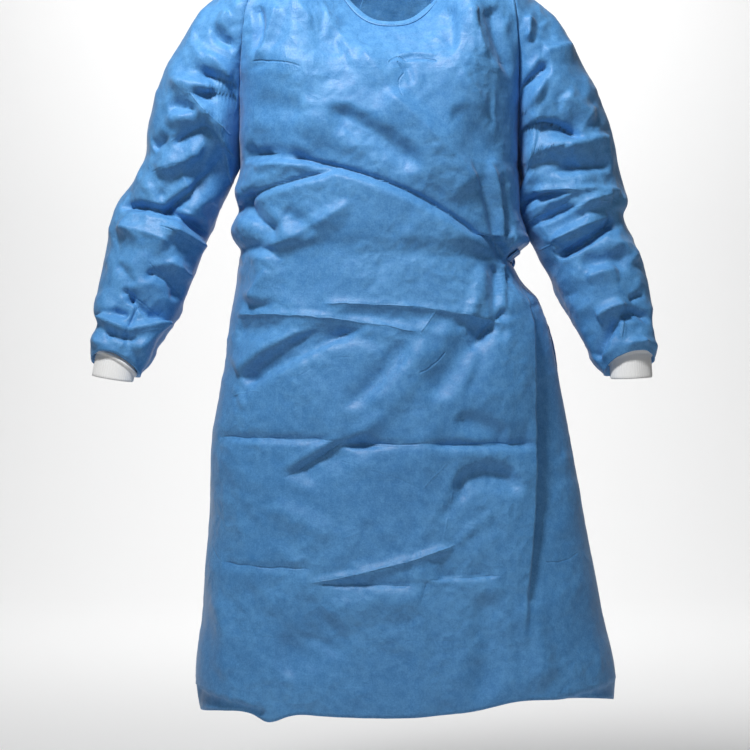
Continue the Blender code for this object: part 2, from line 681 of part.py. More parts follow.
def make_binding(panels, finish, collection):
    """The strip that binds the neckline, sewn edge to edge to the panels."""
    front, outer, inner = panels["front"], panels["back_outer"], panels["back_inner"]
    corner, other_corner = FRONT_STEPS[0], FRONT_STEPS[0] + FRONT_STEPS[1]
    legs = [
        (outer, range(sum(OUTER_STEPS), OUTER_STEPS[0], -1)),
        (front, range(corner, other_corner + 1)),
        (inner, range(INNER_STEPS[0] + INNER_STEPS[1] - 1, -1, -1)),
    ]
    edge = np.concatenate([grid[0, list(columns)] for grid, columns in legs])
    normal = np.concatenate([surface_normals(grid)[0, list(columns)] for grid, columns in legs])
    tangent = unit(np.gradient(edge, axis=0))
    inward = unit(np.cross(tangent, normal))
    centre = np.array([NECK_MIDDLE, 0.0, 0.0])
    inward *= np.where(((centre - edge) * inward).sum(axis=-1, keepdims=True) < 0, -1, 1)
    points = np.stack([edge + inward * BINDING_WIDTH, edge + inward * BINDING_GAP])
    return cloth("neck_binding", points, finish, collection, CLOTH_THICKNESS)


def make_fastener(panels, finish, collection):
    """The touch fastener between the two flaps, just below the binding."""
    rows, columns = np.array([[1.15], [1.9]]), np.array([[1.2, 2, 3, 3.8]])
    points = laid(panels["back_inner"], rows, columns, SEAM_GAP)
    return cloth("neck_fastener", points, finish, collection, FASTENER_THICKNESS, 1.0)


def make_tail(name, table, panel, finish, collection):
    """A tail of the tie, hanging down the back from the knot."""
    rows = np.array([[TIE_ROW + 1 + row.below] * 4 for row in table], float)
    columns = np.array([np.linspace(row.near, row.far, 4) for row in table])
    points = laid(panel, rows, columns, LAID_GAP)
    return cloth(name, points, finish, collection, TIE_THICKNESS, 1.0)


def make_ties(panels, finish, collection):
    """The waist tie: its two ends, the knot, and two tails that hang from it."""
    front, outer, inner = panels["front"], panels["back_outer"], panels["back_inner"]
    rows = np.array(TIE_ROWS)[:, None]
    over_front = laid(front, rows, np.array([FRONT_TIE_ON_FRONT], float), LAID_GAP)
    over_back = laid(inner, rows, np.array([FRONT_TIE_ON_BACK], float), LAID_GAP)
    wrap = np.concatenate([over_front, over_back], axis=1)
    cloth("tie_front", wrap, finish, collection, TIE_THICKNESS, 1.0)

    on_outer = laid(outer, rows, np.array([FLAP_TIE_ON_OUTER], float), LAID_GAP)
    lifts = np.array([[FLAP_STEP, LAID_GAP]])
    on_inner = laid(inner, rows, np.array([FLAP_TIE_ON_INNER], float), lifts)
    flap = np.concatenate([on_outer, on_inner], axis=1)
    cloth("tie_flap", flap, finish, collection, TIE_THICKNESS, 1.0)

    row, column = KNOT_PLACE
    lift = KNOT_HALF_SIZES[0] + KNOT_GAP
    place = laid(inner, np.array([row]), np.array([column]), lift)[0]
    base = laid(inner, np.array([row]), np.array([column]), 0.0)[0]
    away = unit((place - base) * np.array([1.0, 1.0, 0.0]))
    along = np.array([-away[1], away[0], 0.0])
    work = bmesh.new()
    bmesh.ops.create_uvsphere(work, u_segments=16, v_segments=9, radius=1.0)
    for vert in work.verts:
        out, side, up = (vert.co[k] * KNOT_HALF_SIZES[k] for k in range(3))
        vert.co = (place + away * out + along * side + np.array([0.0, 0.0, up])) * MM
    add_piece("tie_knot", work, finish, collection)

    make_tail("tie_tail_long", LONG_TAIL, inner, finish, collection)
    make_tail("tie_tail_short", SHORT_TAIL, inner, finish, collection)


def build_gown():
    """Clears the scene and builds every piece of the gown."""
    for obj in list(bpy.data.objects):
        bpy.data.objects.remove(obj, do_unlink=True)
    gown = bpy.data.collections.new("surgical_gown")
    bpy.context.scene.collection.children.link(gown)
    blue = material("blue_nonwoven", BLUE, 0.5)
    trim = material("pale_blue_trim", PALE_BLUE, 0.55)
    knit = material("white_knit", WHITE_KNIT, 0.85)
    panels = make_panels(blue, gown)
    right_loop, left_loop = armhole_loop(panels, 0), armhole_loop(panels, -1)
    right_folds = (RIGHT_SLEEVE_FRONT, RIGHT_SLEEVE_BACK)
    left_folds = (LEFT_SLEEVE_FRONT, LEFT_SLEEVE_BACK)
    make_sleeve("sleeve_right", SLEEVE_RIGHT, right_loop, CUFF_RIGHT, right_folds, blue, gown)
    make_sleeve("sleeve_left", SLEEVE_LEFT, left_loop, CUFF_LEFT, left_folds, blue, gown)
    make_cuff("cuff_right", CUFF_RIGHT, knit, gown)
    make_cuff("cuff_left", CUFF_LEFT, knit, gown)
    make_binding(panels, trim, gown)
    make_fastener(panels, trim, gown)
    make_ties(panels, blue, gown)


if __name__ == "__main__":
    build_gown()
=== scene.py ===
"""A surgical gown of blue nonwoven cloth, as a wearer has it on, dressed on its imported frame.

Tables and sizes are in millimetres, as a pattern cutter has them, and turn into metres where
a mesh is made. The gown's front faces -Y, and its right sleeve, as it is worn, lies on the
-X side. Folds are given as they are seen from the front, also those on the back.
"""

from __future__ import annotations

import logging
import math
from collections.abc import Mapping, Sequence
from dataclasses import dataclass, field
from enum import Enum
from typing import NamedTuple

import bmesh
import bpy
import numpy as np
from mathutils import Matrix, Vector


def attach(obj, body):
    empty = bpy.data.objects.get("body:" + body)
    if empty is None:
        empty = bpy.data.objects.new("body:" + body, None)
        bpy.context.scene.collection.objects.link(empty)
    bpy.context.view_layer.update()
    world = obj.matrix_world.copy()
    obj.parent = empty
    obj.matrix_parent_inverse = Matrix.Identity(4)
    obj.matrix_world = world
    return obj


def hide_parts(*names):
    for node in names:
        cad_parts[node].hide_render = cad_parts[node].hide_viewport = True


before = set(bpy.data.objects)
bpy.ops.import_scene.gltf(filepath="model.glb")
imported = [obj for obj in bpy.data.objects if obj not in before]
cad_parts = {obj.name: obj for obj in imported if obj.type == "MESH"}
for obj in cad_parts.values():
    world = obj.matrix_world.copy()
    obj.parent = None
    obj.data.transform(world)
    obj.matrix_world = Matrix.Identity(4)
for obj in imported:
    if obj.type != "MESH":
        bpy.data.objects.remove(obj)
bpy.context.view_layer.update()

MM = 0.001
Array = np.ndarray
Colour = tuple[float, float, float, float]
log = logging.getLogger("surgical_gown")


class Side(Enum):
    """The two halves of the body, parted at the side seams."""

    FRONT = "front"
    BACK = "back"


class Profile(Enum):
    """The cross-section of a fold."""

    SOFT = "soft"
    CREST = "crest"
    DEEP = "deep"


class Section(NamedTuple):
    """The body's outline at one height, seen from the front and from the side."""

    z: float
    right_side: float
    left_side: float
    front: float
    back: float


class Pleat(NamedTuple):
    """The pleat below the tie at one height: its ridge's turn from the front, its depth."""

    z: float
    degrees: float
    depth: float


class Hem(NamedTuple):
    """How far the hem hangs above its middle, at one share of a panel's half width."""

    u: float
    lift: float


class FlapEdge(NamedTuple):
    """The back flaps' free edges at one height, and the column of the neck's left corner."""

    z: float
    outer: float
    inner: float
    corner: float


class Ring(NamedTuple):
    """A sleeve's outline seen from the front, and its middle and depth from the side."""

    outer_x: float
    outer_z: float
    inner_x: float
    inner_z: float
    middle_y: float
    half_depth: float


def smooth_step(t: Array) -> Array:
    """0 below 0, 1 above 1, and a soft S between."""
    t = np.clip(t, 0.0, 1.0)
    return t * t * (3 - 2 * t)


def signed_power(value: Array, power: float) -> Array:
    """The power of the value's size, with its sign kept."""
    return np.sign(value) * np.abs(value) ** power


def unit(vectors: Array) -> Array:
    """The vectors at length 1."""
    return vectors / np.maximum(np.linalg.norm(vectors, axis=-1, keepdims=True), 1e-9)


def read_table(rows: Sequence[NamedTuple], column: str, at: Array) -> Array:
    """Reads a column of a table on a smooth curve over its first column.

    Args:
        rows: the table, with its first column rising.
        column: the name of the column to read.
        at: where to read it.

    Returns:
        The column's value at each place.
    """
    keys = np.array([row[0] for row in rows], float)
    values = np.array([getattr(row, column) for row in rows], float)
    slopes = np.gradient(values, keys)
    at = np.clip(at, keys[0], keys[-1])
    row = np.clip(np.searchsorted(keys, at) - 1, 0, len(keys) - 2)
    span = keys[row + 1] - keys[row]
    t = (at - keys[row]) / span
    start = (1 + 2 * t) * (1 - t) ** 2 * values[row] + t * (1 - t) ** 2 * span * slopes[row]
    end = t * t * (3 - 2 * t) * values[row + 1] + t * t * (t - 1) * span * slopes[row + 1]
    return start + end


@dataclass(frozen=True)
class Line:
    """A bowed line as it is seen from the front, which runs towards +X or downwards."""

    x1: float
    z1: float
    x2: float
    z2: float
    bow: float

    def place(self, x: Array, z: Array) -> tuple[Array, Array]:
        """Where points lie on the line.

        Args:
            x: the points' x.
            z: the points' z.

        Returns:
            The share of the way along the line, and the distance above (or +X of) it.
        """
        run = np.array([self.x2 - self.x1, self.z2 - self.z1], float)
        length = float(np.hypot(*run))
        ahead = run / length
        share = ((x - self.x1) * ahead[0] + (z - self.z1) * ahead[1]) / length
        aside = (z - self.z1) * ahead[0] - (x - self.x1) * ahead[1]
        return share, aside - self.bow * 4 * share * (1 - share)


@dataclass(frozen=True)
class Fold(Line):
    """A ridge (height above 0) or a trough along a line.

    The cloth comes back to level over `above` on the upper (or +X) side of the line and
    over `below` on the other.
    """

    above: float
    below: float
    height: float
    profile: Profile = Profile.SOFT
    start: float = 0.2
    end: float = 0.2

    def at(self, x: Array, z: Array) -> Array:
        """The fold's height at points seen at (x, z).

        Args:
            x: the points' x.
            z: the points' z.

        Returns:
            The height at each point.
        """
        share, aside = self.place(x, z)
        along = smooth_step(share / self.start) * smooth_step((1 - share) / self.end)
        # A fold narrows towards its ends.
        reach = np.where(aside > 0, self.above, self.below) * (0.3 + 0.7 * along)
        level = np.clip(1 - np.abs(aside) / reach, 0, 1)
        if self.profile is Profile.DEEP:
            across = np.where(aside > 0, level**2.2, level**1.3)
        else:
            across = smooth_step(level) if self.profile is Profile.SOFT else level**1.4
        return self.height * across * along


@dataclass(frozen=True)
class Lap(Line):
    """Cloth that rolls out by `rise` above a line and steps in by `drop` right below it."""

    above: float
    below: float
    rise: float
    drop: float
    edge: float = 5.0
    start: float = 0.08
    end: float = 0.08

    def at(self, x: Array, z: Array) -> Array:
        """The lap's height at points seen at (x, z).

        Args:
            x: the points' x.
            z: the points' z.

        Returns:
            The height at each point.
        """
        share, aside = self.place(x, z)
        upper = smooth_step((aside / self.edge + 1) / 2)
        over = self.rise * smooth_step(1 - np.abs(aside) / self.above)
        under = self.drop * smooth_step(1 - np.abs(aside) / self.below)
        along = smooth_step(share / self.start) * smooth_step((1 - share) / self.end)
        return (over * upper - under * (1 - upper)) * along


@dataclass(frozen=True)
class Ripple:
    """Seeded unevenness over a plane, from a lattice of heights with a blend between them.

    A ridged one has sharp crests where a smooth one passes through level.
    """

    seed: int
    spacing: float
    height: float
    stretch: float = 1.0
    ridged: bool = False
    turn: float = 0.6

    def at(self, x: Array, z: Array) -> Array:
        """The ripple's height at points (x, z).

        Args:
            x: the points' x.
            z: the points' z.

        Returns:
            The height at each point.
        """
        lattice = np.random.default_rng(self.seed).uniform(-1, 1, (64, 64))
        ahead, aside = math.cos(self.turn), math.sin(self.turn)
        a = (x * ahead + z * aside) / self.spacing + 17.3
        b = (z * ahead - x * aside) / (self.spacing * self.stretch) + 29.7
        i, j = np.floor(a).astype(int), np.floor(b).astype(int)
        s, t = smooth_step(a - i), smooth_step(b - j)
        i, j = i % 64, j % 64
        near = lattice[i, j] * (1 - s) + lattice[(i + 1) % 64, j] * s
        far = lattice[i, (j + 1) % 64] * (1 - s) + lattice[(i + 1) % 64, (j + 1) % 64] * s
        value = near * (1 - t) + far * t
        return self.height * (1 - 2.6 * np.abs(value) if self.ridged else value)


@dataclass(frozen=True)
class Crumple:
    """Many short sharp creases at seeded places, as in cloth that was packed folded."""

    seed: int
    count: int
    box: tuple[float, float, float, float]
    length: tuple[float, float] = (18.0, 60.0)
    height: float = 1.3
    lean: float = 0.3

    def folds(self) -> list[Fold]:
        """The creases, each as a fold that runs towards +X.

        Returns:
            The folds, the same each time.
        """
        rng = np.random.default_rng(self.seed)
        low_x, low_z, high_x, high_z = self.box
        made = []
        for _ in range(self.count):
            x, z = rng.uniform(low_x, high_x), rng.uniform(low_z, high_z)
            turn = rng.normal(self.lean, 0.75)
            half = rng.uniform(*self.length) / 2
            dx, dz = half * abs(math.cos(turn)), half * math.sin(turn)
            reach = rng.uniform(5.0, 13.0)
            height = self.height * rng.uniform(0.35, 1.0) * rng.choice((-1.0, 1.0))
            bow = rng.uniform(-0.12, 0.12) * half
            ends = (x - dx, z - dz, x + dx, z + dz)
            made.append(
                Fold(*ends, bow, reach, reach * 1.3, height, Profile.CREST, 0.45, 0.45)
            )
        return made

    def at(self, x: Array, z: Array) -> Array:
        """The creases' height at points (x, z).

        Args:
            x: the points' x.
            z: the points' z.

        Returns:
            The height at each point.
        """
        total = np.zeros_like(x)
        margin = self.length[1]
        for fold in self.folds():
            low_x, high_x = fold.x1 - margin / 2, fold.x2 + margin / 2
            low_z, high_z = min(fold.z1, fold.z2) - margin / 2, max(fold.z1, fold.z2) + margin / 2
            near = (x > low_x) & (x < high_x) & (z > low_z) & (z < high_z)
            if near.any():
                total[near] += fold.at(x[near], z[near])
        return total


@dataclass(frozen=True)
class Drape:
    """All the relief of one piece of cloth."""

    folds: tuple[Fold | Lap, ...]
    ripples: tuple[Ripple, ...] = ()
    crumple: Crumple | None = None

    def at(self, x: Array, z: Array) -> Array:
        """The relief's height at points seen at (x, z).

        Args:
            x: the points' x.
            z: the points' z.

        Returns:
            The height at each point.
        """
        total = np.zeros_like(x)
        for part in (*self.folds, *self.ripples):
            total += part.at(x, z)
        if self.crumple:
            total += self.crumple.at(x, z)
        return total


@dataclass(frozen=True)
class ThinLine(Line):
    """A fine crease: a ridge where its height is above 0, a groove where it is below."""

    height: float


def body_ripples(seed: int, middle: float) -> tuple[Ripple, ...]:
    """The unevenness of the front or the back.

    Args:
        seed: what the ripples' own seeds count from.
        middle: the height of the waves of middle size.

    Returns:
        Two smooth ripples and two ridged ones.
    """
    return (
        Ripple(seed + 3, 95, 2.4),
        Ripple(seed + 5, 40, middle, 1.4),
        Ripple(seed + 6, 62, 1.2, 1.3, ridged=True, turn=0.9),
        Ripple(seed + 7, 27, 0.55, 1.2, ridged=True, turn=-0.5),
    )


def sleeve_ripples(seed: int) -> tuple[Ripple, ...]:
    """The unevenness of one side of a sleeve.

    Args:
        seed: what the ripples' own seeds count from.

    Returns:
        Two smooth ripples and two ridged ones.
    """
    return (
        Ripple(seed + 3, 60, 2.0),
        Ripple(seed + 5, 26, 1.0),
        Ripple(seed + 6, 46, 2.0, 1.2, ridged=True),
        Ripple(seed + 7, 22, 0.7, 1.2, ridged=True, turn=-0.6),
    )


SOFT, CREST, DEEP = Profile.SOFT, Profile.CREST, Profile.DEEP

# Where the gown was folded in its packet, through all its layers, and creases beside them.
THIN_LINES = (
    ThinLine(-212, -550, 57, -578, 9, 1.0),
    ThinLine(-88, -536, 179, -563, 9, 0.8),
    ThinLine(-238, -727, -63, -730, 0, -1.0),
    ThinLine(-50, -736, 232, -737, 0, -1.0),
    ThinLine(-138, -785, -54, -732, -2, -1.1),
    ThinLine(-230, -909, -98, -913, -2, -0.9),
    ThinLine(-246, -885, -228, -911, -3, -0.6),
    ThinLine(-100, -933, 111, -878, -5, 1.2),
    ThinLine(-96, -934, 45, -936, 0, -0.8),
    ThinLine(69, -929, 173, -924, 0, -0.9),
    ThinLine(67, -929, 57, -964, 0, -0.7),
    ThinLine(59, -610, 48, -1118, 3, -0.2),
    ThinLine(81, -546, 57, -578, 0, 0.8),
    ThinLine(57, -578, 74, -600, 0, 0.8),
    ThinLine(94, -604, 54, -636, 3, -1.0),
    ThinLine(-220, -670, -172, -662, 4, 0.6),
    ThinLine(-214, -1011, 190, -1015, 0, -0.16),
    ThinLine(236, -906, 290, -898, -4, -0.6),
    ThinLine(-186, -184, -112, -197, 4, -1.2),
    ThinLine(12, -191, 26, -182, 1, -1.1),
    ThinLine(26, -182, 38, -189, 1, -1.2),
    ThinLine(38, -189, 82, -189, 5, -1.1),
    ThinLine(24, -188, 35, -205, 1, -1.3),
    ThinLine(35, -205, 26, -220, -2, -1.2),
    ThinLine(26, -220, 33, -240, -2, -1.0),
    ThinLine(106, -178, 185, -188, 3, -0.35),
    ThinLine(-204, -196, 200, -197, 0, 0.12),
    ThinLine(-120, -640, -40, -610, 4, -0.3),
    ThinLine(60, -800, 96, -762, 0, 0.3),
    ThinLine(88, -880, 104, -800, 0, 0.4),
    ThinLine(-60, -760, 60, -800, 3, -0.2),
)
RIGHT_SLEEVE_LINES = (
    ThinLine(-278, -225, -253, -257, 0, 0.9),
    ThinLine(-253, -257, -219, -284, 0, 0.9),
    ThinLine(-310, -295, -262, -272, 0, 0.6),
    ThinLine(-319, -389, -275, -367, 2, 0.7),
    ThinLine(-338, -339, -275, -328, 2, -0.6),
    ThinLine(-382, -392, -275, -424, 8, -1.0),
    ThinLine(-313, -395, -262, -433, 2, 0.6),
    ThinLine(-325, -417, -275, -442, 2, -0.8),
    ThinLine(-341, -470, -294, -527, 2, -0.8),
    ThinLine(-379, -508, -322, -555, 0, -0.9),
    ThinLine(-368, -568, -355, -539, 0, -0.6),
    ThinLine(-407, -561, -369, -552, 2, 0.5),
    ThinLine(-350, -577, -303, -561, 0, 0.6),
)
LEFT_SLEEVE_LINES = (
    ThinLine(205, -222, 249, -188, 0, -0.9),
    ThinLine(224, -367, 290, -367, 2, 0.9),
    ThinLine(290, -367, 352, -380, 2, 0.5),
    ThinLine(211, -414, 280, -384, 2, 0.9),
    ThinLine(261, -398, 340, -381, 2, 0.7),
    ThinLine(264, -460, 308, -430, 0, -1.0),
    ThinLine(308, -430, 349, -412, 0, -0.8),
    ThinLine(230, -455, 277, -433, 0, 0.8),
    ThinLine(267, -326, 308, -342, 0, 0.5),
    ThinLine(321, -557, 362, -543, 0, 0.8),
    ThinLine(362, -545, 387, -562, 3, -0.8),
    ThinLine(359, -555, 354, -584, 0, -0.7),
)

FRONT_DRAPE = Drape(
    folds=(
        # The bloused chest rolls over a long step that drops to the tie.
        Fold(-204, -312, 186, -461, 31, 62, 16, -16, DEEP, 0.03, 0.02),
        Lap(-204, -312, 186, -461, 31, 20, 12, 4, 3, 2.6, 0.05, 0.02),
        # The wedge under its start, a second step, and the bright plane below.
        Fold(-190, -336, -96, -338, 4, 10, 14, 5, CREST),
        Fold(-206, -380, -56, -340, 3, 22, 14, -10, DEEP, 0.03, 0.2),
        Lap(-206, -380, -56, -340, 3, 10, 12, 2.5, 2, 2.6, 0.05, 0.2),
        # The waist's own side, where the body turns away.
        Fold(-206, -376, -144, -442, -4, 26, 22, -15, CREST, 0.05, 0.25),
        Fold(-146, -400, -90, -434, 0, 18, 24, -7),
        Fold(-178, -454, -36, -384, -8, 18, 28, 9, CREST),
        Fold(-168, -452, -186, -540, 10, 30, 34, 10),
        Fold(-188, -532, -156, -484, 2, 10, 14, 5, CREST),
        # Drapes that hang from the neckline.
        Fold(-54, -104, 28, -240, -12, 48, 30, 9, CREST, 0.05, 0.3),
        Fold(-88, -104, -34, -200, 4, 22, 28, 8, CREST, 0.05, 0.3),
        Fold(-84, -101, -86, -150, 0, 6, 6, -3, CREST, 0.05, 0.3),
        Fold(-122, -101, -100, -142, 6, 10, 14, 5, CREST, 0.1, 0.4),
        Fold(98, -104, 100, -184, 4, 15, 24, -8, SOFT, 0.1, 0.3),
        Fold(132, -101, 156, -192, -4, 20, 22, 9, CREST, 0.1, 0.3),
        Fold(160, -101, 190, -206, -4, 16, 18, -9, SOFT, 0.1, 0.2),
        # Drapes that hang from the shoulders.
        Fold(-178, -101, -180, -178, 6, 11, 15, -9, SOFT, 0.05, 0.2),
        Fold(-150, -101, -178, -178, 4, 16, 16, 8, CREST, 0.1, 0.1),
        # The chest: a light ridge down to the tie, with a hollow on its inner side.
        Fold(-2, -226, 152, -374, 5, 24, 52, 12, CREST, 0.15, 0.15),
        Fold(-82, -252, 66, -346, 6, 22, 36, -13),
        Fold(-186, -244, -110, -262, 0, 30, 30, -6),
        Fold(-204, -302, -96, -316, 6, 14, 18, 5, CREST),
        Fold(112, -196, 156, -262, 0, 12, 16, 6, CREST),
        Fold(100, -250, 176, -330, 0, 24, 24, -7),
        # Short creases where the packet's fold crosses the chest.
        Lap(-192, -190, -110, -196, 9, 10, 14, 4, 3, 3, 0.1, 0.2),
        Fold(-192, -176, -124, -172, 6, 8, 10, 4, CREST),
        Lap(20, -184, 88, -188, 6, 8, 12, 3, 3, 3, 0.2, 0.2),
        Fold(34, -192, 44, -226, 3, 8, 9, -4, CREST),
        Lap(116, -190, 172, -198, 4, 8, 12, 3, 2, 3, 0.2, 0.2),
        Fold(-216, -190, 206, -192, 0, 44, 50, 5, CREST, 0.1, 0.1),
        # What the tie gathers, above and below it.
        Fold(128, -320, 176, -450, 4, 14, 12, -8, CREST, 0.2, 0.02),
        Fold(157, -326, 184, -448, 2, 12, 12, 9, CREST, 0.2, 0.02),
        Fold(178, -340, 188, -446, 0, 9, 10, -8, CREST, 0.2, 0.02),
        Fold(172, -478, 160, -560, 4, 13, 20, -10, CREST, 0.02, 0.4),
        Fold(180, -476, 176, -532, 2, 7, 7, 6, CREST, 0.02, 0.5),
        Fold(187, -478, 184, -548, 2, 7, 7, -6, CREST, 0.02, 0.5),
        Fold(150, -480, 110, -590, 6, 16, 16, 6, CREST, 0.1, 0.5),
        # The middle of the skirt.
        Lap(-206, -640, -86, -570, 8, 34, 44, 9, 7, 7, 0.05, 0.3),
        Fold(-202, -652, -14, -566, 6, 36, 16, -12, DEEP, 0.1, 0.2),
        Fold(126, -606, 184, -540, 0, 18, 14, -10, DEEP, 0.2, 0.1),
        Fold(66, -738, 228, -739, 0, 66, 8, -8, DEEP, 0.2, 0.1),
        Fold(-64, -738, 24, -738, 0, 52, 8, -6, DEEP, 0.2, 0.3),
        Fold(-236, -728, -60, -731, 0, 34, 8, -3, DEEP, 0.2, 0.2),
        Fold(-58, -688, 42, -584, -8, 24, 22, -9, CREST),
        Fold(-24, -688, 70, -580, -8, 20, 26, 6),
        Fold(64, -676, 152, -548, -6, 36, 30, -11),
        Fold(121, -672, 164, -544, -4, 14, 20, -5, CREST),
        Fold(-58, -736, 64, -626, -10, 16, 22, 6, CREST),
        Fold(-216, -672, -190, -660, 2, 10, 12, -4, CREST),
        Fold(-214, -655, -196, -690, 2, 9, 9, 4, CREST),
        # The lower skirt.
        Fold(96, -806, 212, -802, 26, 24, 34, -13),
        Fold(70, -925, 174, -922, 0, 60, 8, -6, DEEP, 0.2, 0.2),
        Fold(-94, -934, 46, -936, 0, 18, 8, -5, DEEP, 0.1, 0.1),
        Fold(100, -700, 190, -734, 8, 22, 26, -7),
        Fold(-130, -790, 0, -726, 6, 22, 34, -8),
        Fold(-170, -830, -60, -870, 8, 24, 30, 5),
        Fold(-90, -980, 70, -950, 6, 24, 40, 5),
        Fold(-150, -1060, -40, -1000, 12, 44, 54, -8),
        Fold(150, -940, 140, -1110, 6, 34, 34, -8),
        Fold(210, -950, 232, -1090, 6, 30, 34, 7),
        Fold(-236, -950, -226, -1080, 6, 24, 28, 6),
        Fold(86, -846, 124, -800, 2, 12, 16, -5, CREST),
        Fold(106, -880, 140, -850, 2, 9, 10, 4, CREST),
        Fold(-116, -1008, -50, -1034, 2, 12, 14, -4, CREST),
        # Creases from the packet, whose thin lines are in the finish.
        Fold(-212, -550, 57, -578, 9, 10, 5, 3, CREST, 0.03, 0.06),
        Fold(-212, -572, 30, -598, 9, 22, 26, -6, SOFT, 0.03, 0.3),
        Fold(-88, -536, 179, -563, 9, 10, 5, 3, CREST, 0.08, 0.03),
        Fold(-70, -553, 190, -578, 9, 16, 22, -5, SOFT, 0.1, 0.05),
        Fold(81, -546, 57, -578, 0, 8, 8, 3, CREST),
        Fold(-238, -727, -63, -730, 0, 10, 12, -3, CREST, 0.03, 0.05),
        Fold(-138, -785, -54, -732, -2, 10, 9, -5, CREST, 0.1, 0.1),
        Fold(-150, -776, -58, -724, -2, 10, 9, 3, CREST, 0.2, 0.1),
        Fold(-50, -736, 232, -737, 0, 10, 12, -3, CREST, 0.03, 0.03),
        Fold(-230, -909, -98, -913, -2, 12, 12, -3, CREST, 0.03, 0.08),
        Fold(-100, -933, 111, -878, -5, 10, 14, 7, CREST, 0.08, 0.12),
        Fold(67, -926, 57, -966, 0, 12, 12, -4, CREST),
        Fold(61, -582, 50, -1122, 4, 30, 14, 2.4, CREST, 0.05, 0.02),
        Fold(164, -214, 166, -300, 0, 7, 7, 2, CREST),
        # The hem's corners are turned in.
        Lap(-276, -1098, -160, -1117, 0, 16, 30, 1.5, 8, 3, 0.02, 0.1),
        Lap(200, -1112, 350, -1088, 0, 16, 30, 1.5, 8, 3, 0.1, 0.02),
    ),
    ripples=body_ripples(0, 1.0),
    crumple=Crumple(11, 560, (-290, -1120, 290, -110), height=1.6),
)

BACK_DRAPE = Drape(
    folds=(
        Fold(-205, -330, 110, -448, 18, 36, 42, -12),
        Fold(-190, -296, 120, -408, 18, 36, 32, 10),
        Fold(-200, -432, 90, -464, 6, 26, 26, -8),
        Fold(-196, -522, 96, -486, 8, 26, 32, -8),
        Fold(-150, -60, -90, -230, 8, 28, 32, -8),
        Fold(150, -64, 96, -230, -8, 32, 28, -8),
        Fold(-60, -60, -20, -260, 6, 30, 30, 6),
        Fold(104, -500, -110, -900, 30, 46, 46, -10),
        Fold(120, -500, 20, -1000, 20, 44, 44, 9),
        Fold(-170, -560, -208, -1140, 12, 46, 46, -9),
        Fold(-112, -640, -122, -1150, 8, 46, 46, 9),
        Fold(-40, -700, -30, -1150, 0, 46, 46, -9),
        Fold(70, -700, 110, -1150, 0, 46, 46, -9),
        Fold(160, -600, 214, -1150, -6, 44, 44, 9),
        Fold(-196, -318, 100, -436, 16, 16, 9, 4, CREST, 0.1, 0.1),
        Fold(-180, -380, -40, -352, 6, 12, 16, -4, CREST),
        Fold(-190, -470, -70, -448, 6, 10, 14, 4, CREST),
        Fold(-160, -250, -60, -210, 6, 16, 18, -4, CREST),
        Fold(40, -240, 150, -300, 8, 16, 18, 4, CREST),
        Fold(20, -470, 110, -452, 4, 10, 12, -4, CREST, 0.5, 0.05),
        Fold(10, -500, 112, -478, 4, 10, 12, 4, CREST, 0.5, 0.05),
        Fold(-232, -556, 60, -562, 3, 6, 12, 3, CREST, 0.04, 0.1),
        Fold(-232, -728, 240, -736, 0, 6, 13, 3, CREST, 0.04, 0.04),
        Fold(-238, -914, 250, -922, 0, 6, 13, 3, CREST, 0.04, 0.04),
        Fold(-220, -192, 200, -194, 0, 9, 12, 1.5, CREST, 0.1, 0.1),
    ),
    ripples=body_ripples(10, 1.2),
    crumple=Crumple(21, 460, (-290, -1120, 330, -60), height=1.6),
)

RIGHT_SLEEVE_BOX = (-430, -610, -200, -90)
LEFT_SLEEVE_BOX = (200, -610, 415, -90)
SHORT_CREASES = (14.0, 44.0)

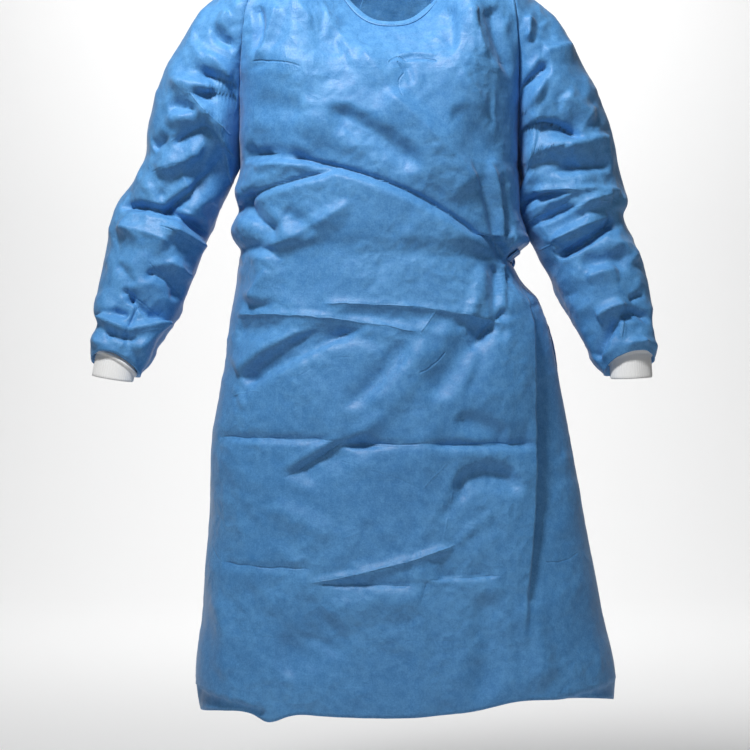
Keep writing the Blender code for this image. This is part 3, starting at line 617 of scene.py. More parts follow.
RIGHT_SLEEVE_DRAPES = {
    Side.FRONT: Drape(
        folds=(
            # Short folds that fan out from the armhole.
            Fold(-254, -121, -206, -158, -3, 15, 17, -10, CREST, 0.5, 0.06),
            Fold(-265, -164, -217, -203, 4, 17, 15, 9, CREST, 0.5, 0.1),
            Fold(-276, -181, -206, -222, -3, 14, 17, -11, CREST, 0.4, 0.06),
            Fold(-316, -210, -238, -216, -3, 20, 17, 9, CREST, 0.3, 0.2),
            Fold(-284, -226, -210, -238, 3, 11, 18, -9, CREST, 0.3, 0.06),
            Fold(-278, -222, -220, -279, -3, 14, 18, 8, CREST, 0.2, 0.2),
            Fold(-320, -268, -238, -240, -4, 12, 15, 7, CREST, 0.2, 0.2),
            Fold(-314, -239, -258, -255, 2, 14, 17, -8, CREST),
            Fold(-240, -130, -222, -108, 0, 12, 14, 6, CREST),
            # The wide hollow of the upper arm's inner half.
            Fold(-322, -406, -204, -322, 0, 76, 18, -16, CREST, 0.15, 0.1),
            # The bend of the elbow, and the folds above and below it.
            Fold(-338, -298, -306, -285, 0, 14, 15, -9, CREST, 0.1, 0.5),
            Fold(-340, -340, -250, -296, -8, 30, 18, 10, CREST, 0.3, 0.3),
            Fold(-310, -300, -240, -276, 2, 14, 22, -10, CREST, 0.3, 0.2),
            Fold(-330, -392, -262, -352, 2, 20, 16, 9, CREST, 0.3, 0.3),
            Fold(-390, -384, -252, -428, 9, 24, 12, -13, DEEP, 0.05, 0.1),
            Fold(-386, -376, -258, -414, 9, 12, 12, 4, CREST, 0.1, 0.2),
            Fold(-328, -416, -258, -450, 6, 15, 22, 9, CREST, 0.3, 0.06),
            Fold(-348, -486, -290, -526, 14, 15, 20, -9, CREST, 0.2, 0.2),
            Fold(-398, -420, -306, -448, 8, 24, 28, 8, CREST),
            Fold(-392, -470, -356, -505, 0, 14, 18, -5, CREST),
            Fold(-318, -470, -276, -500, 2, 16, 18, 6, CREST),
            # Crumples above the wrist.
            Fold(-380, -508, -360, -528, 0, 11, 12, -8, CREST),
            Fold(-374, -514, -316, -562, 0, 24, 10, -9, DEEP, 0.2, 0.2),
            Fold(-354, -534, -368, -574, 0, 6, 6, -4, CREST),
            Fold(-396, -543, -366, -549, 0, 9, 10, -6, CREST),
            Fold(-412, -552, -370, -575, 0, 12, 14, 8, CREST, 0.1, 0.1),
            Fold(-372, -575, -316, -559, 0, 15, 16, 9, CREST, 0.1, 0.1),
            Fold(-408, -573, -352, -585, 0, 9, 13, -7, CREST),
            Fold(-360, -604, -318, -560, 0, 20, 24, 8, CREST, 0.1, 0.1),
        ),
        ripples=sleeve_ripples(20),
        crumple=Crumple(31, 190, RIGHT_SLEEVE_BOX, SHORT_CREASES, 1.7, -0.2),
    ),
    Side.BACK: Drape(
        folds=(
            Fold(-300, -190, -206, -150, 6, 28, 30, -8),
            Fold(-340, -320, -216, -300, 8, 26, 30, -9),
            Lap(-390, -374, -262, -372, -8, 26, 28, 7, 8, 6),
            Fold(-400, -428, -270, -414, -8, 26, 28, 9, CREST),
            Fold(-410, -586, -340, -520, 6, 26, 28, -7),
            Fold(-290, -230, -214, -260, 3, 16, 18, 8, CREST, 0.4, 0.06),
            Fold(-300, -210, -212, -232, 3, 14, 17, -8, CREST, 0.4, 0.06),
            Fold(-330, -270, -250, -282, 3, 18, 20, 7, CREST),
            Fold(-380, -366, -290, -350, 5, 14, 18, 7, CREST),
            Fold(-396, -470, -300, -440, 5, 16, 20, -8, CREST),
            Fold(-400, -540, -330, -560, 8, 12, 16, 8, CREST),
            Fold(-396, -560, -340, -584, 4, 12, 14, -7, CREST),
        ),
        ripples=sleeve_ripples(30),
        crumple=Crumple(41, 190, RIGHT_SLEEVE_BOX, SHORT_CREASES, 1.7, 0.2),
    ),
}

LEFT_SLEEVE_DRAPES = {
    Side.FRONT: Drape(
        folds=(
            # Folds that fan out from the armhole.
            Fold(186, -112, 206, -136, 0, 11, 13, -9, CREST),
            Fold(222, -110, 216, -150, 0, 12, 14, 7, CREST),
            Fold(201, -230, 248, -178, 0, 15, 17, -12, CREST, 0.05, 0.2),
            Fold(206, -246, 246, -204, 0, 12, 16, 8, CREST, 0.05, 0.4),
            Fold(236, -168, 290, -150, 0, 20, 24, 7, CREST),
            Fold(201, -290, 303, -291, 15, 12, 24, -12, CREST, 0.05, 0.2),
            Fold(202, -314, 300, -294, 4, 14, 20, 9, CREST, 0.05, 0.3),
            Fold(262, -230, 320, -262, 0, 20, 22, 7, CREST),
            Fold(240, -344, 346, -322, 0, 36, 14, -10, DEEP, 0.4, 0.1),
            Fold(266, -304, 340, -286, 0, 12, 30, 6, CREST, 0.2, 0.05),
            Fold(214, -336, 300, -334, 5, 14, 18, -6, CREST),
            # The bend of the elbow.
            Fold(222, -365, 358, -364, 0, 9, 14, 6, CREST, 0.1, 0.05),
            Fold(204, -392, 290, -368, 6, 20, 10, -11, DEEP, 0.1, 0.4),
            Fold(264, -392, 344, -372, 0, 13, 16, 8, CREST, 0.3, 0.08),
            Fold(222, -418, 306, -378, 0, 20, 10, -10, DEEP, 0.3, 0.3),
            Fold(250, -443, 342, -404, 2, 16, 18, 9, CREST, 0.2, 0.1),
            Fold(258, -462, 350, -408, -4, 24, 11, -12, CREST, 0.1, 0.1),
            Lap(256, -459, 322, -428, 2, 14, 20, 4, 6, 5, 0.1, 0.3),
            Fold(320, -430, 384, -470, 2, 20, 24, 6, CREST),
            Fold(290, -476, 372, -462, 2, 20, 24, -6),
            # Crumples above the wrist.
            Fold(300, -500, 352, -480, 3, 16, 20, 6, CREST),
            Fold(316, -557, 364, -535, 4, 18, 9, 9, CREST, 0.1, 0.2),
            Fold(344, -557, 398, -557, 13, 10, 18, -10, CREST, 0.3, 0.2),
            Fold(316, -614, 354, -552, 7, 14, 11, -10, CREST, 0.05, 0.2),
            Fold(355, -556, 351, -586, 0, 7, 7, 4, CREST),
            Fold(364, -528, 392, -518, 2, 9, 10, -5, CREST),
            Fold(360, -600, 392, -588, 0, 12, 14, 5, CREST),
        ),
        ripples=sleeve_ripples(40),
        crumple=Crumple(51, 190, LEFT_SLEEVE_BOX, SHORT_CREASES, 1.7, 0.3),
    ),
    Side.BACK: Drape(
        folds=(
            Fold(208, -150, 300, -200, 6, 28, 30, -8),
            Fold(220, -310, 346, -330, 6, 26, 30, -9),
            Lap(246, -386, 366, -394, -6, 26, 28, 7, 8, 6),
            Fold(254, -428, 372, -444, -6, 26, 28, 9, CREST),
            Fold(318, -530, 396, -594, -6, 26, 28, -7),
            Fold(214, -260, 290, -230, 3, 16, 18, 8, CREST, 0.06, 0.4),
            Fold(212, -232, 300, -210, 3, 14, 17, -8, CREST, 0.06, 0.4),
            Fold(250, -282, 330, -270, 3, 18, 20, 7, CREST),
            Fold(270, -366, 360, -350, 5, 14, 18, 7, CREST),
            Fold(280, -470, 380, -440, 5, 16, 20, -8, CREST),
            Fold(320, -560, 396, -566, 8, 12, 16, 8, CREST),
            Fold(330, -584, 396, -588, 4, 12, 14, -7, CREST),
        ),
        ripples=sleeve_ripples(50),
        crumple=Crumple(61, 190, LEFT_SLEEVE_BOX, SHORT_CREASES, 1.7, -0.3),
    ),
}


@dataclass(frozen=True)
class BodyForm:
    """The body of the gown as a smooth surface, before its folds.

    A place on it is u, from -1 at the side seam on the -X side to 1 at the other, and down,
    which is 0 at the neckline and shoulder, 1 level with the armpits and 2 at the hem.
    """

    chest: float = -325.0
    hem: float = -1127.0
    squareness: float = 0.8
    neck_middle: float = 16.0
    neck_half_width: float = 104.0
    neck_share: float = 0.42
    seam_y: float = 6.0
    neck_drop: Mapping[Side, float] = field(
        default_factory=lambda: {Side.FRONT: 129.0, Side.BACK: 22.0}
    )
    neck_reach: Mapping[Side, float] = field(
        default_factory=lambda: {Side.FRONT: -96.0, Side.BACK: 70.0}
    )
    neck_curve: Mapping[Side, float] = field(
        default_factory=lambda: {Side.FRONT: 2.6, Side.BACK: 2.0}
    )
    tip_right: tuple[float, float, float] = (-166.0, 6.0, -32.0)
    tip_left: tuple[float, float, float] = (180.0, 6.0, -38.0)
    bulge: Mapping[Side, float] = field(
        default_factory=lambda: {Side.FRONT: -84.0, Side.BACK: 74.0}
    )
    bulge_spread: Mapping[Side, float] = field(
        default_factory=lambda: {Side.FRONT: 3.5, Side.BACK: 2.4}
    )
    pleat_column: float = 0.62
    pleat_rise: float = 0.016
    pleat_end: float = 0.96
    layer_drop: float = 4.6
    sections: tuple[Section, ...] = (
        Section(-1140, -268, 344, -170, 163),
        Section(-1107, -274, 350, -172, 166),
        Section(-980, -265, 330, -168, 160),
        Section(-869, -257, 309, -163, 154),
        Section(-716, -248, 281, -158, 145),
        Section(-605, -229, 259, -152, 135),
        Section(-548, -223, 245, -148, 129),
        Section(-521, -218, 234, -145, 125),
        Section(-503, -215, 216, -144, 121),
        Section(-480, -213, 202, -142, 117),
        Section(-465, -210, 196, -141, 115),
        Section(-450, -208, 212, -143, 119),
        Section(-440, -216, 223, -146, 121),
        Section(-424, -223, 219, -148, 122),
        Section(-393, -212, 210, -150, 124),
        Section(-362, -217, 210, -153, 125),
        Section(-340, -211, 209, -153, 125),
        Section(-325, -209, 206, -152, 125),
    )
    pleat: tuple[Pleat, ...] = (
        Pleat(-1140, 27, 0),
        Pleat(-1040, 28, 2),
        Pleat(-970, 31, 8),
        Pleat(-900, 36, 15),
        Pleat(-829, 41.5, 20),
        Pleat(-750, 47, 23),
        Pleat(-675, 51, 22),
        Pleat(-605, 56, 19),
        Pleat(-555, 61, 13),
        Pleat(-520, 64, 6),
        Pleat(-480, 60, 0),
        Pleat(-325, 56, 0),
    )
    hems: Mapping[Side, tuple[Hem, ...]] = field(
        default_factory=lambda: {
            Side.FRONT: (
                Hem(-1.0, -8), Hem(-0.90, -6), Hem(-0.80, -2.5), Hem(-0.62, 3.5),
                Hem(-0.50, 4.5), Hem(-0.46, 2), Hem(-0.42, -4), Hem(-0.39, -6), Hem(-0.36, -4),
                Hem(-0.32, 2), Hem(-0.29, 5), Hem(-0.20, 5), Hem(0.0, 4), Hem(0.11, 7),
                Hem(0.25, 11), Hem(0.40, 18), Hem(0.53, 24), Hem(0.65, 26), Hem(0.76, 23),
                Hem(0.86, 17), Hem(1.0, 5),
            ),
            Side.BACK: (Hem(-1.0, -8), Hem(-0.4, -2), Hem(0.3, 0), Hem(1.0, 5)),
        }
    )
    flaps: tuple[FlapEdge, ...] = (
        FlapEdge(-1140, 0.60, -0.30, 0.78),
        FlapEdge(-800, 0.68, -0.30, 0.82),
        FlapEdge(-465, 0.72, -0.30, 0.84),
        FlapEdge(-325, 0.50, -0.22, 0.72),
        FlapEdge(0, 0.24, -0.12, 0.42),
    )

    def ring(self, turn: Array, z: Array) -> Array:
        """The body's section at a height.

        Args:
            turn: radians round from the front.
            z: heights.

        Returns:
            The points.
        """
        right = read_table(self.sections, "right_side", z)
        left = read_table(self.sections, "left_side", z)
        ahead, aside = np.cos(turn), np.sin(turn)
        front = read_table(self.sections, "front", z)
        back = read_table(self.sections, "back", z)
        depth = np.where(ahead > 0, -front, back)
        x = (left + right) / 2 + (left - right) / 2 * signed_power(aside, self.squareness)
        return np.stack([x, -depth * signed_power(ahead, self.squareness), z], axis=-1)

    def top_edge(self, u: Array, side: Side) -> Array:
        """The neckline and the shoulder seams.

        Args:
            u: columns, from -1 at one side seam to 1 at the other.
            side: which half of the body.

        Returns:
            The points of the top edge.
        """
        s = np.clip(u / self.neck_share, -1, 1)
        x = self.neck_middle + self.neck_half_width * s
        y = self.seam_y + self.neck_reach[side] * np.sqrt(np.clip(1 - s * s, 0, 1))
        z = -self.neck_drop[side] * (1 - np.abs(s) ** self.neck_curve[side])
        neck = np.stack([x, y, z], axis=-1)
        tip = np.where(u[..., None] < 0, self.tip_right, self.tip_left)
        share = (np.abs(u) - self.neck_share) / (1 - self.neck_share)
        return neck + (tip - neck) * np.clip(share, 0, 1)[..., None]

    def turn(self, u: Array, z: Array, side: Side) -> Array:
        """The columns' angle from the front: the pleat's ridge stays on one column.

        Args:
            u: columns, from -1 at one side seam to 1 at the other.
            z: heights.
            side: which half of the body.

        Returns:
            The angles in radians.
        """
        if side is Side.BACK:
            return np.pi - u * np.pi / 2
        ridge = np.radians(read_table(self.pleat, "degrees", z))
        inside = u / self.pleat_column * ridge
        share = (u - self.pleat_column) / (1 - self.pleat_column)
        outside = ridge + share * (np.pi / 2 - ridge)
        return np.where(u < 0, u * np.pi / 2, np.where(u < self.pleat_column, inside, outside))

    def base(self, u: Array, down: Array, side: Side) -> Array:
        """Points of the smooth body.

        Args:
            u: columns, from -1 at one side seam to 1 at the other.
            down: rows, from 0 at the top edge to 2 at the hem.
            side: which half of the body.

        Returns:
            The points.
        """
        hem = self.hem + read_table(self.hems[side], "lift", u)
        z = self.chest + (hem - self.chest) * np.clip(down - 1, 0, 1)
        skirt = self.ring(self.turn(u, z, side), z)
        chest = np.full_like(z, self.chest)
        line = self.ring(self.turn(u, chest, side), chest)
        t = np.clip(down, 0, 1)
        top = self.top_edge(u, side)
        rounding = 1 + 0.8 * smooth_step((np.abs(u) - 0.2) / 0.22)
        share = np.stack([1 - (1 - t) ** 2.2, 1 - (1 - t) ** 2.6, t**rounding], axis=-1)
        yoke = top + (line - top) * share
        spread = np.abs(u) ** self.bulge_spread[side]
        yoke[..., 1] += self.bulge[side] * np.sin(np.pi * t**0.85) * spread
        return np.where(down[..., None] <= 1, yoke, skirt)

    def normal(self, u: Array, down: Array, side: Side) -> Array:
        """Outward normals of the smooth body.

        Args:
            u: columns, from -1 at one side seam to 1 at the other.
            down: rows, from 0 at the top edge to 2 at the hem.
            side: which half of the body.

        Returns:
            The normals.
        """
        step = 0.004
        across = self.base(np.clip(u + step, -1, 1), down, side)
        across = across - self.base(np.clip(u - step, -1, 1), down, side)
        along = self.base(u, np.clip(down + step, 0, 2), side)
        along = along - self.base(u, np.clip(down - step, 0, 2), side)
        return unit(np.cross(across, along)) * (-1 if side is Side.FRONT else 1)

    def pleat_fall(self, u: Array, z: Array) -> Array:
        """How far the cloth beside the pleat's ridge falls back.

        Args:
            u: columns, from -1 at one side seam to 1 at the other.
            z: heights.

        Returns:
            The depth below the ridge.
        """
        foot = self.pleat_column + self.pleat_rise
        fall = smooth_step((u - self.pleat_column) / self.pleat_rise)
        rise = smooth_step((self.pleat_end - u) / (self.pleat_end - foot))
        return read_table(self.pleat, "depth", z) * fall * rise

    def flap(self, column: str, down: Array) -> Array:
        """The column u of a flap's edge at each row."""
        below = self.chest + (self.hem - self.chest) * (down - 1)
        return read_table(self.flaps, column, np.where(down < 1, self.chest * down, below))

    def down_at(self, z: Array | float) -> Array | float:
        """The row at a height below the armpits."""
        return 1 + (z - self.chest) / (self.hem - self.chest)


@dataclass(frozen=True)
class Body:
    """The draped body, on which everything else is laid."""

    form: BodyForm = field(default_factory=BodyForm)
    drapes: Mapping[Side, Drape] = field(
        default_factory=lambda: {Side.FRONT: FRONT_DRAPE, Side.BACK: BACK_DRAPE}
    )

    def relief(self, u: Array, down: Array, side: Side, point: Array) -> Array:
        """Height of the folds over the smooth body.

        Args:
            u: columns.
            down: rows.
            side: which half.
            point: the smooth body's points there.

        Returns:
            The height outwards, which fades out at the side seams and the top edge.
        """
        height = self.drapes[side].at(point[..., 0], point[..., 2])
        height = height * smooth_step((1 - np.abs(u)) / 0.1) * smooth_step(down / 0.25)
        if side is Side.FRONT:
            height = height - self.form.pleat_fall(u, point[..., 2])
        return height

    def point(self, u: Array, down: Array, side: Side, out: Array | float = 0.0) -> Array:
        """Points outside the draped body.

        Args:
            u: columns.
            down: rows.
            side: which half.
            out: how far outside the cloth.

        Returns:
            The points.
        """
        point = self.form.base(u, down, side)
        height = self.relief(u, down, side, point)
        return point + self.form.normal(u, down, side) * (height + out)[..., None]

    def inner(self, u: Array, down: Array, out: Array | float = 0.0) -> Array:
        """Points outside the inner back panel, which lies under the outer one.

        Args:
            u: columns.
            down: rows.
            out: how far outside the cloth.

        Returns:
            The points.
        """
        outer = self.form.flap("outer", down)
        under = smooth_step((0.97 - u) / np.maximum(0.93 - outer, 0.14))
        return self.point(u, down, Side.BACK, out - self.form.layer_drop * under)


def stations(stops: Sequence[Array], steps: Sequence[int]) -> Array:
    """Columns between stops.

    Args:
        stops: the columns that bound each stretch, each an array over the rows.
        steps: how many columns each stretch adds.

    Returns:
        All the columns.
    """
    columns = [stops[0]]
    for start, end, count in zip(stops, stops[1:], steps):
        columns += [start + (end - start) * (k + 1) / count for k in range(count)]
    return np.stack(columns, axis=-1)


def drawn_back(points: Array, edge: int, gap: float) -> Array:
    """The points with an end row pulled in.

    Args:
        points: rows and columns of points.
        edge: 0 for the first row, -1 for the last.
        gap: how far the row moves.

    Returns:
        The moved points.
    """
    moved = points.copy()
    inside = points[1] if edge == 0 else points[-2]
    moved[edge] = points[edge] + unit(inside - points[edge]) * gap
    return moved


def drawn_aside(points: Array, edge: int, gap: float) -> Array:
    """The same for the first or last column."""
    return np.swapaxes(drawn_back(np.swapaxes(points, 0, 1), edge, gap), 0, 1)


def grid_mesh(name: str, points: Array, tube: bool, inside: Array) -> bpy.types.Mesh:
    """Makes a mesh of a grid of points, with a UV map in metres along its cloth.

    Args:
        name: the mesh's name.
        points: rows and columns of points, in millimetres.
        tube: whether the last column meets the first.
        inside: a point inside the garment for each row, which the faces look away from.

    Returns:
        The mesh, shaded smooth.
    """
    rows, columns = points.shape[:2]
    index = np.arange(rows * columns).reshape(rows, columns)
    around = np.concatenate([points, points[:, :1]], axis=1) if tube else points
    if tube:
        index = np.concatenate([index, index[:, :1]], axis=1)
    corners = [index[:-1, :-1], index[1:, :-1], index[1:, 1:], index[:-1, 1:]]
    quads = np.stack(corners, axis=-1).reshape(-1, 4)
    centre = (around[:-1, :-1] + around[1:, 1:]) / 2
    across = around[1:, 1:] - around[:-1, :-1]
    along = around[:-1, 1:] - around[1:, :-1]
    facing = (np.cross(across, along) * (centre - inside[:-1, None])).sum(axis=-1).sum()
    u = np.linalg.norm(np.diff(around, axis=1), axis=-1).mean(axis=0)
    v = np.linalg.norm(np.diff(around, axis=0), axis=-1).mean(axis=1)
    u, v = np.concatenate([[0], np.cumsum(u)]) * MM, np.concatenate([[0], np.cumsum(v)]) * MM
    places = np.stack(np.meshgrid(u, v), axis=-1)
    spots = [places[:-1, :-1], places[1:, :-1], places[1:, 1:], places[:-1, 1:]]
    uvs = np.stack(spots, axis=2).reshape(-1, 4, 2)
    if facing < 0:
        quads, uvs = quads[:, ::-1], uvs[:, ::-1]
    mesh = bpy.data.meshes.new(name)
    mesh.from_pydata((points.reshape(-1, 3) * MM).tolist(), [], quads.tolist())
    layer = mesh.uv_layers.new(name="cloth")
    layer.data.foreach_set("uv", uvs.reshape(-1).astype(np.float32))
    mesh.shade_smooth()
    return mesh


def add_object(name: str, mesh: bpy.types.Mesh, finish: bpy.types.Material) -> bpy.types.Object:
    """Links an object with one finish.

    Args:
        name: the object's name.
        mesh: its mesh.
        finish: its material.

    Returns:
        The object.
    """
    mesh.materials.append(finish)
    made = bpy.data.objects.new(name, mesh)
    bpy.context.scene.collection.objects.link(made)
    return made


@dataclass
class Cloth:
    """One cut piece of the gown, as a thin wall over a grid of points.

    Its outer face is the grid; `flat` is the cut's width and length, and `area` the cut's
    own area in square metres where it isn't a rectangle; nothing uses `area`.
    """

    name: str
    points: Array
    finish: bpy.types.Material
    slot: str
    flat: tuple[float, float]
    area: float | None = None
    held: str = "hung"
    tube: bool = False
    wall: float = 0.8
    offset: float = -1.0
    inside: Array | None = None
    rests_on: tuple[str, ...] = ()
    # A painted highlight, 0 to 1 at each point, kept as the "edge" attribute.
    edge: Array | None = None

    def middles(self) -> Array:
        """A point inside the garment for each row.

        Returns:
            The points, which the faces look away from.
        """
        if self.inside is not None:
            return self.inside
        if self.tube:
            return self.points.mean(axis=1)
        heights = np.minimum(self.points[..., 2].mean(axis=1), BodyForm.chest / 2)
        middle = np.full_like(heights, BodyForm.neck_middle)
        return np.stack([middle, np.zeros_like(heights), heights], axis=-1)

    def build(self) -> bpy.types.Object:
        """Makes the piece and gives it to the frame in its node's place.

        Returns:
            The piece.
        """
        mesh = grid_mesh(self.name + "_cloth", self.points, self.tube, self.middles())
        # The painted highlight goes on the mesh as its "edge" attribute.
        if self.edge is not None:
            ridge_highlight = mesh.attributes.new("edge", "FLOAT", "POINT")
            ridge_highlight.data.foreach_set("value", self.edge.reshape(-1).astype(np.float32))
        piece = add_object(self.name + "_cloth", mesh, self.finish)
        wall = piece.modifiers.new("Wall", "SOLIDIFY")
        wall.thickness = self.wall * MM
        wall.offset = self.offset
        wall.use_quality_normals = True
        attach(piece, "root")
        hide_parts(self.name)
        flat = (self.flat[0] * MM, self.flat[1] * MM)
        log.info("%s: %d points", self.name, self.points.shape[0] * self.points.shape[1])
        return piece


class Value:
    """A number in a node tree, on which Python's operators add Math nodes."""

    def __init__(self, tree: Tree, socket: bpy.types.NodeSocket) -> None:
        """Wraps a socket.

        Args:
            tree: the tree that the socket is in.
            socket: an output that gives a number.
        """
        self.tree = tree
        self.socket = socket

    def math(self, operation: str, first: object, second: object) -> Value:
        """A Math node on two numbers or values."""
        made = self.tree.node("ShaderNodeMath", {"operation": operation}, {0: first, 1: second})
        return Value(self.tree, made.outputs[0])

    def __add__(self, other: Value | float) -> Value:
        """This plus the other."""
        return self.math("ADD", self, other)

    __radd__ = __add__

    def __mul__(self, other: Value | float) -> Value:
        """This times the other."""
        return self.math("MULTIPLY", self, other)

    __rmul__ = __mul__

    def __sub__(self, other: Value | float) -> Value:
        """This less the other."""
        return self.math("SUBTRACT", self, other)

    def __rsub__(self, other: Value | float) -> Value:
        """The other less this."""
        return self.math("SUBTRACT", other, self)

    def size(self) -> Value:
        """This without its sign."""
        return self.math("ABSOLUTE", self, 0.0)

    def wave(self) -> Value:
        """The sine of this."""
        return self.math("SINE", self, 0.0)

    def scaled(self, by: Value | float, plus: Value | float) -> Value:
        """This times one number, plus another.

        Args:
            by: what it is multiplied by.
            plus: what is added.

        Returns:
            The result.
        """
        values = {0: self, 1: by, 2: plus}
        made = self.tree.node("ShaderNodeMath", {"operation": "MULTIPLY_ADD"}, values)
        return Value(self.tree, made.outputs[0])

    def spread(self, low: float, high: float, top: float = 1.0) -> Value:
        """A soft S between two places.

        Args:
            low: where it is 0.
            high: where it is at its top.
            top: its highest value.

        Returns:
            The result.
        """
        settings = {"interpolation_type": "SMOOTHSTEP"}
        places = {"Value": self, "From Min": low, "From Max": high, "To Max": top}
        return Value(self.tree, self.tree.node("ShaderNodeMapRange", settings, places).outputs[0])


class Tree:
    """A material's node tree, with one way to add any node."""

    def __init__(self, name: str) -> None:
        """Starts a material with its shader.

        Args:
            name: the material's name.
        """
        self.material = bpy.data.materials.new(name)
        self.material.use_nodes = True
        self.nodes = self.material.node_tree.nodes
        self.links = self.material.node_tree.links
        self.shader = self.nodes["Principled BSDF"]

    def set(self, socket: bpy.types.NodeSocket, value: object) -> None:
        """Gives a socket a number, a colour or a link.

        Args:
            socket: the input to set.
            value: the number, the colour, or the output to link.
        """
        if isinstance(value, Value):
            value = value.socket
        if isinstance(value, bpy.types.NodeSocket):
            self.links.new(value, socket)
        else:
            socket.default_value = value

    def node(
        self, kind: str, settings: Mapping[str, object], values: Mapping[str | int, object]
    ) -> bpy.types.ShaderNode:
        """Adds a node.

        Args:
            kind: the node's type.
            settings: its properties, which are set first.
            values: what its inputs get, by name or number.

        Returns:
            The node.
        """
        made = self.nodes.new(kind)
        for key, value in settings.items():
            setattr(made, key, value)
        for key, value in values.items():
            self.set(made.inputs[key], value)
        return made

    def cloth_place(self) -> bpy.types.NodeSocket:
        """Where a point lies on its cloth, in metres."""
        return self.node("ShaderNodeUVMap", {"uv_map": "cloth"}, {}).outputs["UV"]

    def noise(self, place: object, scale: float, detail: float, rough: float) -> Value:
        """Cloudy noise, around 0.5."""
        values = {"Vector": place, "Scale": scale, "Detail": detail, "Roughness": rough}
        return Value(self, self.node("ShaderNodeTexNoise", {}, values).outputs[0])

    def mix(self, share: Value | float, first: object, second: object) -> bpy.types.NodeSocket:
        """A blend of two colours."""
        made = self.node("ShaderNodeMix", {"data_type": "RGBA"}, {0: share, 6: first, 7: second})
        return made.outputs[2]

    def bump(self, height: Value, depth: float, strength: float) -> bpy.types.NodeSocket:
        """A normal from a height, whose full depth is in metres."""
        values = {"Height": height, "Distance": depth, "Strength": strength}
        return self.node("ShaderNodeBump", {}, values).outputs[0]

    def finish(self, values: Mapping[str, object]) -> bpy.types.Material:
        """Sets the shader's inputs.

        Args:
            values: what each input gets, by name.

        Returns:
            The material.
        """
        for key, value in values.items():
            self.set(self.shader.inputs[key], value)
        return self.material


@dataclass(frozen=True)
class Nonwoven:
    """Spunbonded cloth: a mottled web of fibres pressed together in small dots."""

    name: str
    colour: Colour
    deep: Colour
    lines: tuple[ThinLine, ...] = ()
    sheen: float = 0.12
    roughness: float = 0.5
    line_width: float = 2.2

    def make(self) -> bpy.types.Material:
        """Builds the material.

        Returns:
            The material.
        """
        tree = Tree(self.name)
        place = tree.node("ShaderNodeTexCoord", {}, {}).outputs["Object"]
        fibre = tree.noise(place, 420.0, 2.0, 0.7)
        blotch = tree.noise(place, 90.0, 3.0, 0.65)
        cloud = tree.noise(place, 9.0, 2.0, 0.5)
        dots = {"Vector": place, "Scale": 430.0, "Randomness": 0.12}
        away = Value(tree, tree.node("ShaderNodeTexVoronoi", {}, dots).outputs["Distance"])
        dot = 1.0 - away.spread(0.16, 0.3)
        tone = 0.5 + (fibre - 0.5) * 0.9 + (blotch - 0.5) * 0.8 + (cloud - 0.5) * 0.5
        line = self.thin_lines(tree, place) if self.lines else 0.0
        # The "edge" attribute lightens the colour along the pleat's ridge: a painted highlight.
        ridge_highlight = tree.node("ShaderNodeAttribute", {"attribute_name": "edge"}, {}).outputs["Fac"]
        # The thin creases also tint the colour: lighter on their ridges and darker in their grooves,
        # a painted highlight and painted shade.
        lit = tone + Value(tree, ridge_highlight) * 0.35 + line * 0.12
        colour = tree.mix(lit.spread(0.1, 0.9), self.deep, self.colour)
        # Crinkles: the edges of large and small cells, stronger in some patches.
        patch = cloud.spread(0.36, 0.6)
        relief = fibre * 0.3 + blotch * 0.6 - dot * 0.2 + line * 1.7
        for scale, depth in ((19.0, 2.4), (46.0, 1.1)):
            edges = {"Vector": place, "Scale": scale}
            cell = tree.node("ShaderNodeTexVoronoi", {"feature": "DISTANCE_TO_EDGE"}, edges)
            crinkle = Value(tree, cell.outputs["Distance"]).spread(0.0, 0.42)
            relief = relief + crinkle * depth * (0.25 + patch)
        return tree.finish(
            {
                "Base Color": colour,
                "Roughness": self.roughness + (blotch - 0.5) * 0.3,
                "Normal": tree.bump(relief, 0.0007, 0.8),
                "Sheen Weight": self.sheen,
                "Sheen Roughness": 0.4,
                "Specular IOR Level": 0.35,
            }
        )

    def thin_lines(self, tree: Tree, place: bpy.types.NodeSocket) -> Value:
        """The height of the fine creases.

        Args:
            tree: the material's tree.
            place: where a point lies on the object.

        Returns:
            Their height, as a share of the full one.
        """
        parts = tree.node("ShaderNodeSeparateXYZ", {}, {0: place})
        x, z = Value(tree, parts.outputs[0]) * 1000.0, Value(tree, parts.outputs[2]) * 1000.0
        z = z + (tree.noise(place, 24.0, 2.0, 0.6) - 0.5) * 9.0
        fade = 0.35 + tree.noise(place, 31.0, 0.0, 0.5).spread(0.35, 0.6) * 0.65
        total: Value | float = 0.0
        for row in self.lines:
            run = Vector((row.x2 - row.x1, row.z2 - row.z1))
            length, ahead = run.length, run.normalized()
            start = row.x1 * ahead.x + row.z1 * ahead.y
            share = x.scaled(ahead.x / length, z.scaled(ahead.y / length, -start / length))
            aside = z.scaled(ahead.x, x.scaled(-ahead.y, row.x1 * ahead.y - row.z1 * ahead.x))
            middle = share * (1.0 - share)
            aside = middle.scaled(-4.0 * row.bow, aside)
            thin = aside.size().spread(self.line_width, 0.0, row.height)
            total = thin.scaled(middle.spread(0.0, 0.08), total)
        return fade * total


